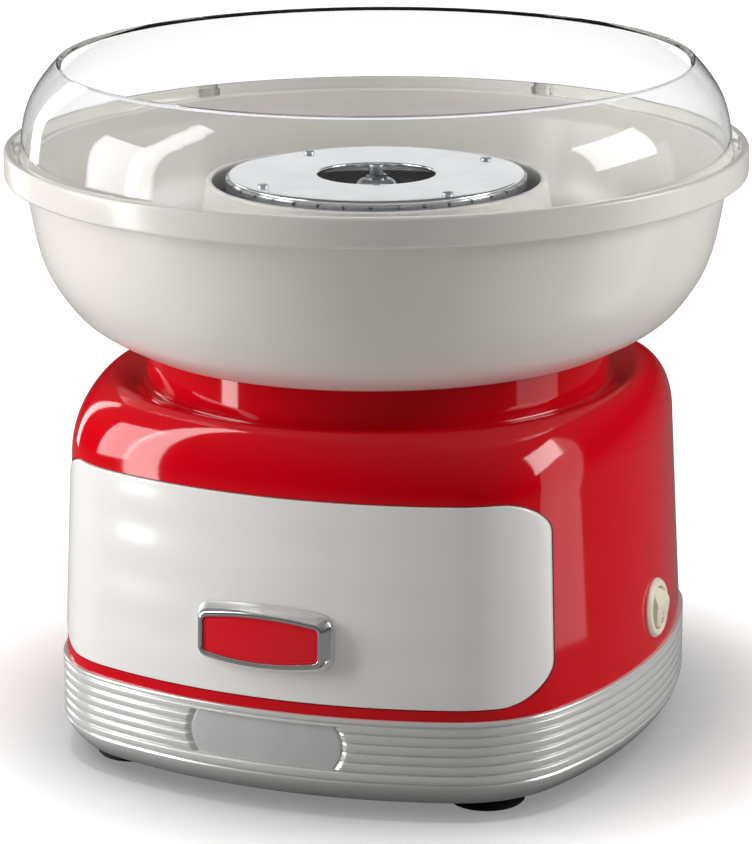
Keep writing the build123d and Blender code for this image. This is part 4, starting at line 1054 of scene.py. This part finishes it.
def make_world():
    """Studio round the object: white to the eye and through glass, soft grey as light, and in reflections
    dark low down and lighter higher up."""
    world = bpy.data.worlds.new("studio")
    bpy.context.scene.world = world
    world.use_nodes = True
    tree = world.node_tree
    tree.nodes.clear()
    ray = add(tree, "ShaderNodeLightPath")
    up = upward(tree, add(tree, "ShaderNodeTexCoord").outputs["Generated"])
    mirrored = spread(tree, up, *studio_in_reflections, 0.1, 1.0, "LINEAR")
    unseen = blended(tree, ray.outputs["Is Glossy Ray"], studio_level, mirrored)
    strength = blended(tree, seen_clearly(tree, ray), unseen, 1.0)
    back = add(tree, "ShaderNodeBackground", {"Color": (1, 1, 1, 1), "Strength": strength})
    add(tree, "ShaderNodeOutputWorld", {"Surface": back.outputs[0]})


def direction(azimuth, elevation):
    """Unit vector towards a place seen from the object: azimuth from the front, turning towards the right
    side."""
    a, e = radians(azimuth), radians(elevation)
    return Vector((sin(a) * cos(e), -cos(a) * cos(e), sin(e)))


def softbox(name, azimuth, elevation, distance, width, height, power, aim=(0, 0, 0.13)):
    """Rectangular lamp that faces the object."""
    lamp = bpy.data.lights.new(name, "AREA")
    lamp.shape, lamp.size, lamp.size_y, lamp.energy = "RECTANGLE", width, height, power
    made = bpy.data.objects.new(name, lamp)
    bpy.context.scene.collection.objects.link(made)
    away = direction(azimuth, elevation)
    made.visible_camera = False
    made.location = Vector(aim) + away * distance
    made.rotation_euler = away.to_track_quat("Z", "Y").to_euler()
    return made


def make_lamps(floor):
    """Tall soft boxes close by on the left and right that stand just above the floor, a thin one behind
    on the left, one further off on each side and one overhead; the one that draws the shadow on the floor
    lights nothing else."""
    on_object, on_floor = (bpy.data.collections.new(name) for name in ("all_but_floor", "floor_only"))
    for group, state in ((on_object, "EXCLUDE"), (on_floor, "INCLUDE")):
        group.objects.link(floor)
        group.collection_objects[0].light_linking.link_state = state
    lamps = [softbox("left_box", -54, 0, 0.45, 0.09, 0.85, 2.0, (-0.063, -0.115, 0.455)),
             softbox("left_edge", -111, 12, 0.9, 0.12, 0.7, 1.2),
             softbox("left_fill", -66, 14, 1.3, 0.5, 0.7, 7.5),
             softbox("right_strip", 113, 0, 0.2, 0.122, 0.29, 0.11, (0.11, -0.06, 0.155)),
             softbox("right_box", 105, 24, 1.2, 0.55, 0.5, 6.5),
             softbox("top_box", 10, 82, 1.3, 0.7, 0.7, 0.3)]
    for lamp in lamps:
        lamp.light_linking.receiver_collection = on_object
    shadow = softbox("shadow_box", 0, 86, 1.3, 0.5, 0.5, floor_level * shadow_watts)
    shadow.light_linking.receiver_collection = on_floor


def make_camera():
    """Camera at the photograph's place: back along azimuth and elevation from the aim, rolled about its
    own axis."""
    back = direction(np.degrees(camera_azimuth), np.degrees(camera_elevation))
    right = Vector((cos(camera_azimuth), sin(camera_azimuth), 0))
    up = back.cross(right)
    place = Vector((0, 0, aim_height)) + right * aim_sideways + back * camera_distance
    turn, tip = cos(camera_roll), sin(camera_roll)
    rolled = (right * turn + up * tip, up * turn - right * tip)
    lens = bpy.data.cameras.new("camera")
    lens.lens = sensor_size * focal_pixels / frame_height
    lens.clip_start, lens.clip_end = 0.05, 50.0
    camera = bpy.data.objects.new("camera", lens)
    bpy.context.scene.collection.objects.link(camera)
    matrix = Matrix((*rolled, back)).transposed().to_4x4()
    matrix.translation = place * MM
    camera.matrix_world = matrix
    bpy.context.scene.camera = camera


bpy.context.scene.view_settings.view_transform = "Standard"
make_camera()
make_housing()
make_panel()
make_badge()
make_nameplate()
make_plinth()
make_switch()
make_rocker()
make_head_plate()
make_bowl()
make_guard()
dress_nodes()
make_world()
make_lamps(make_floor())
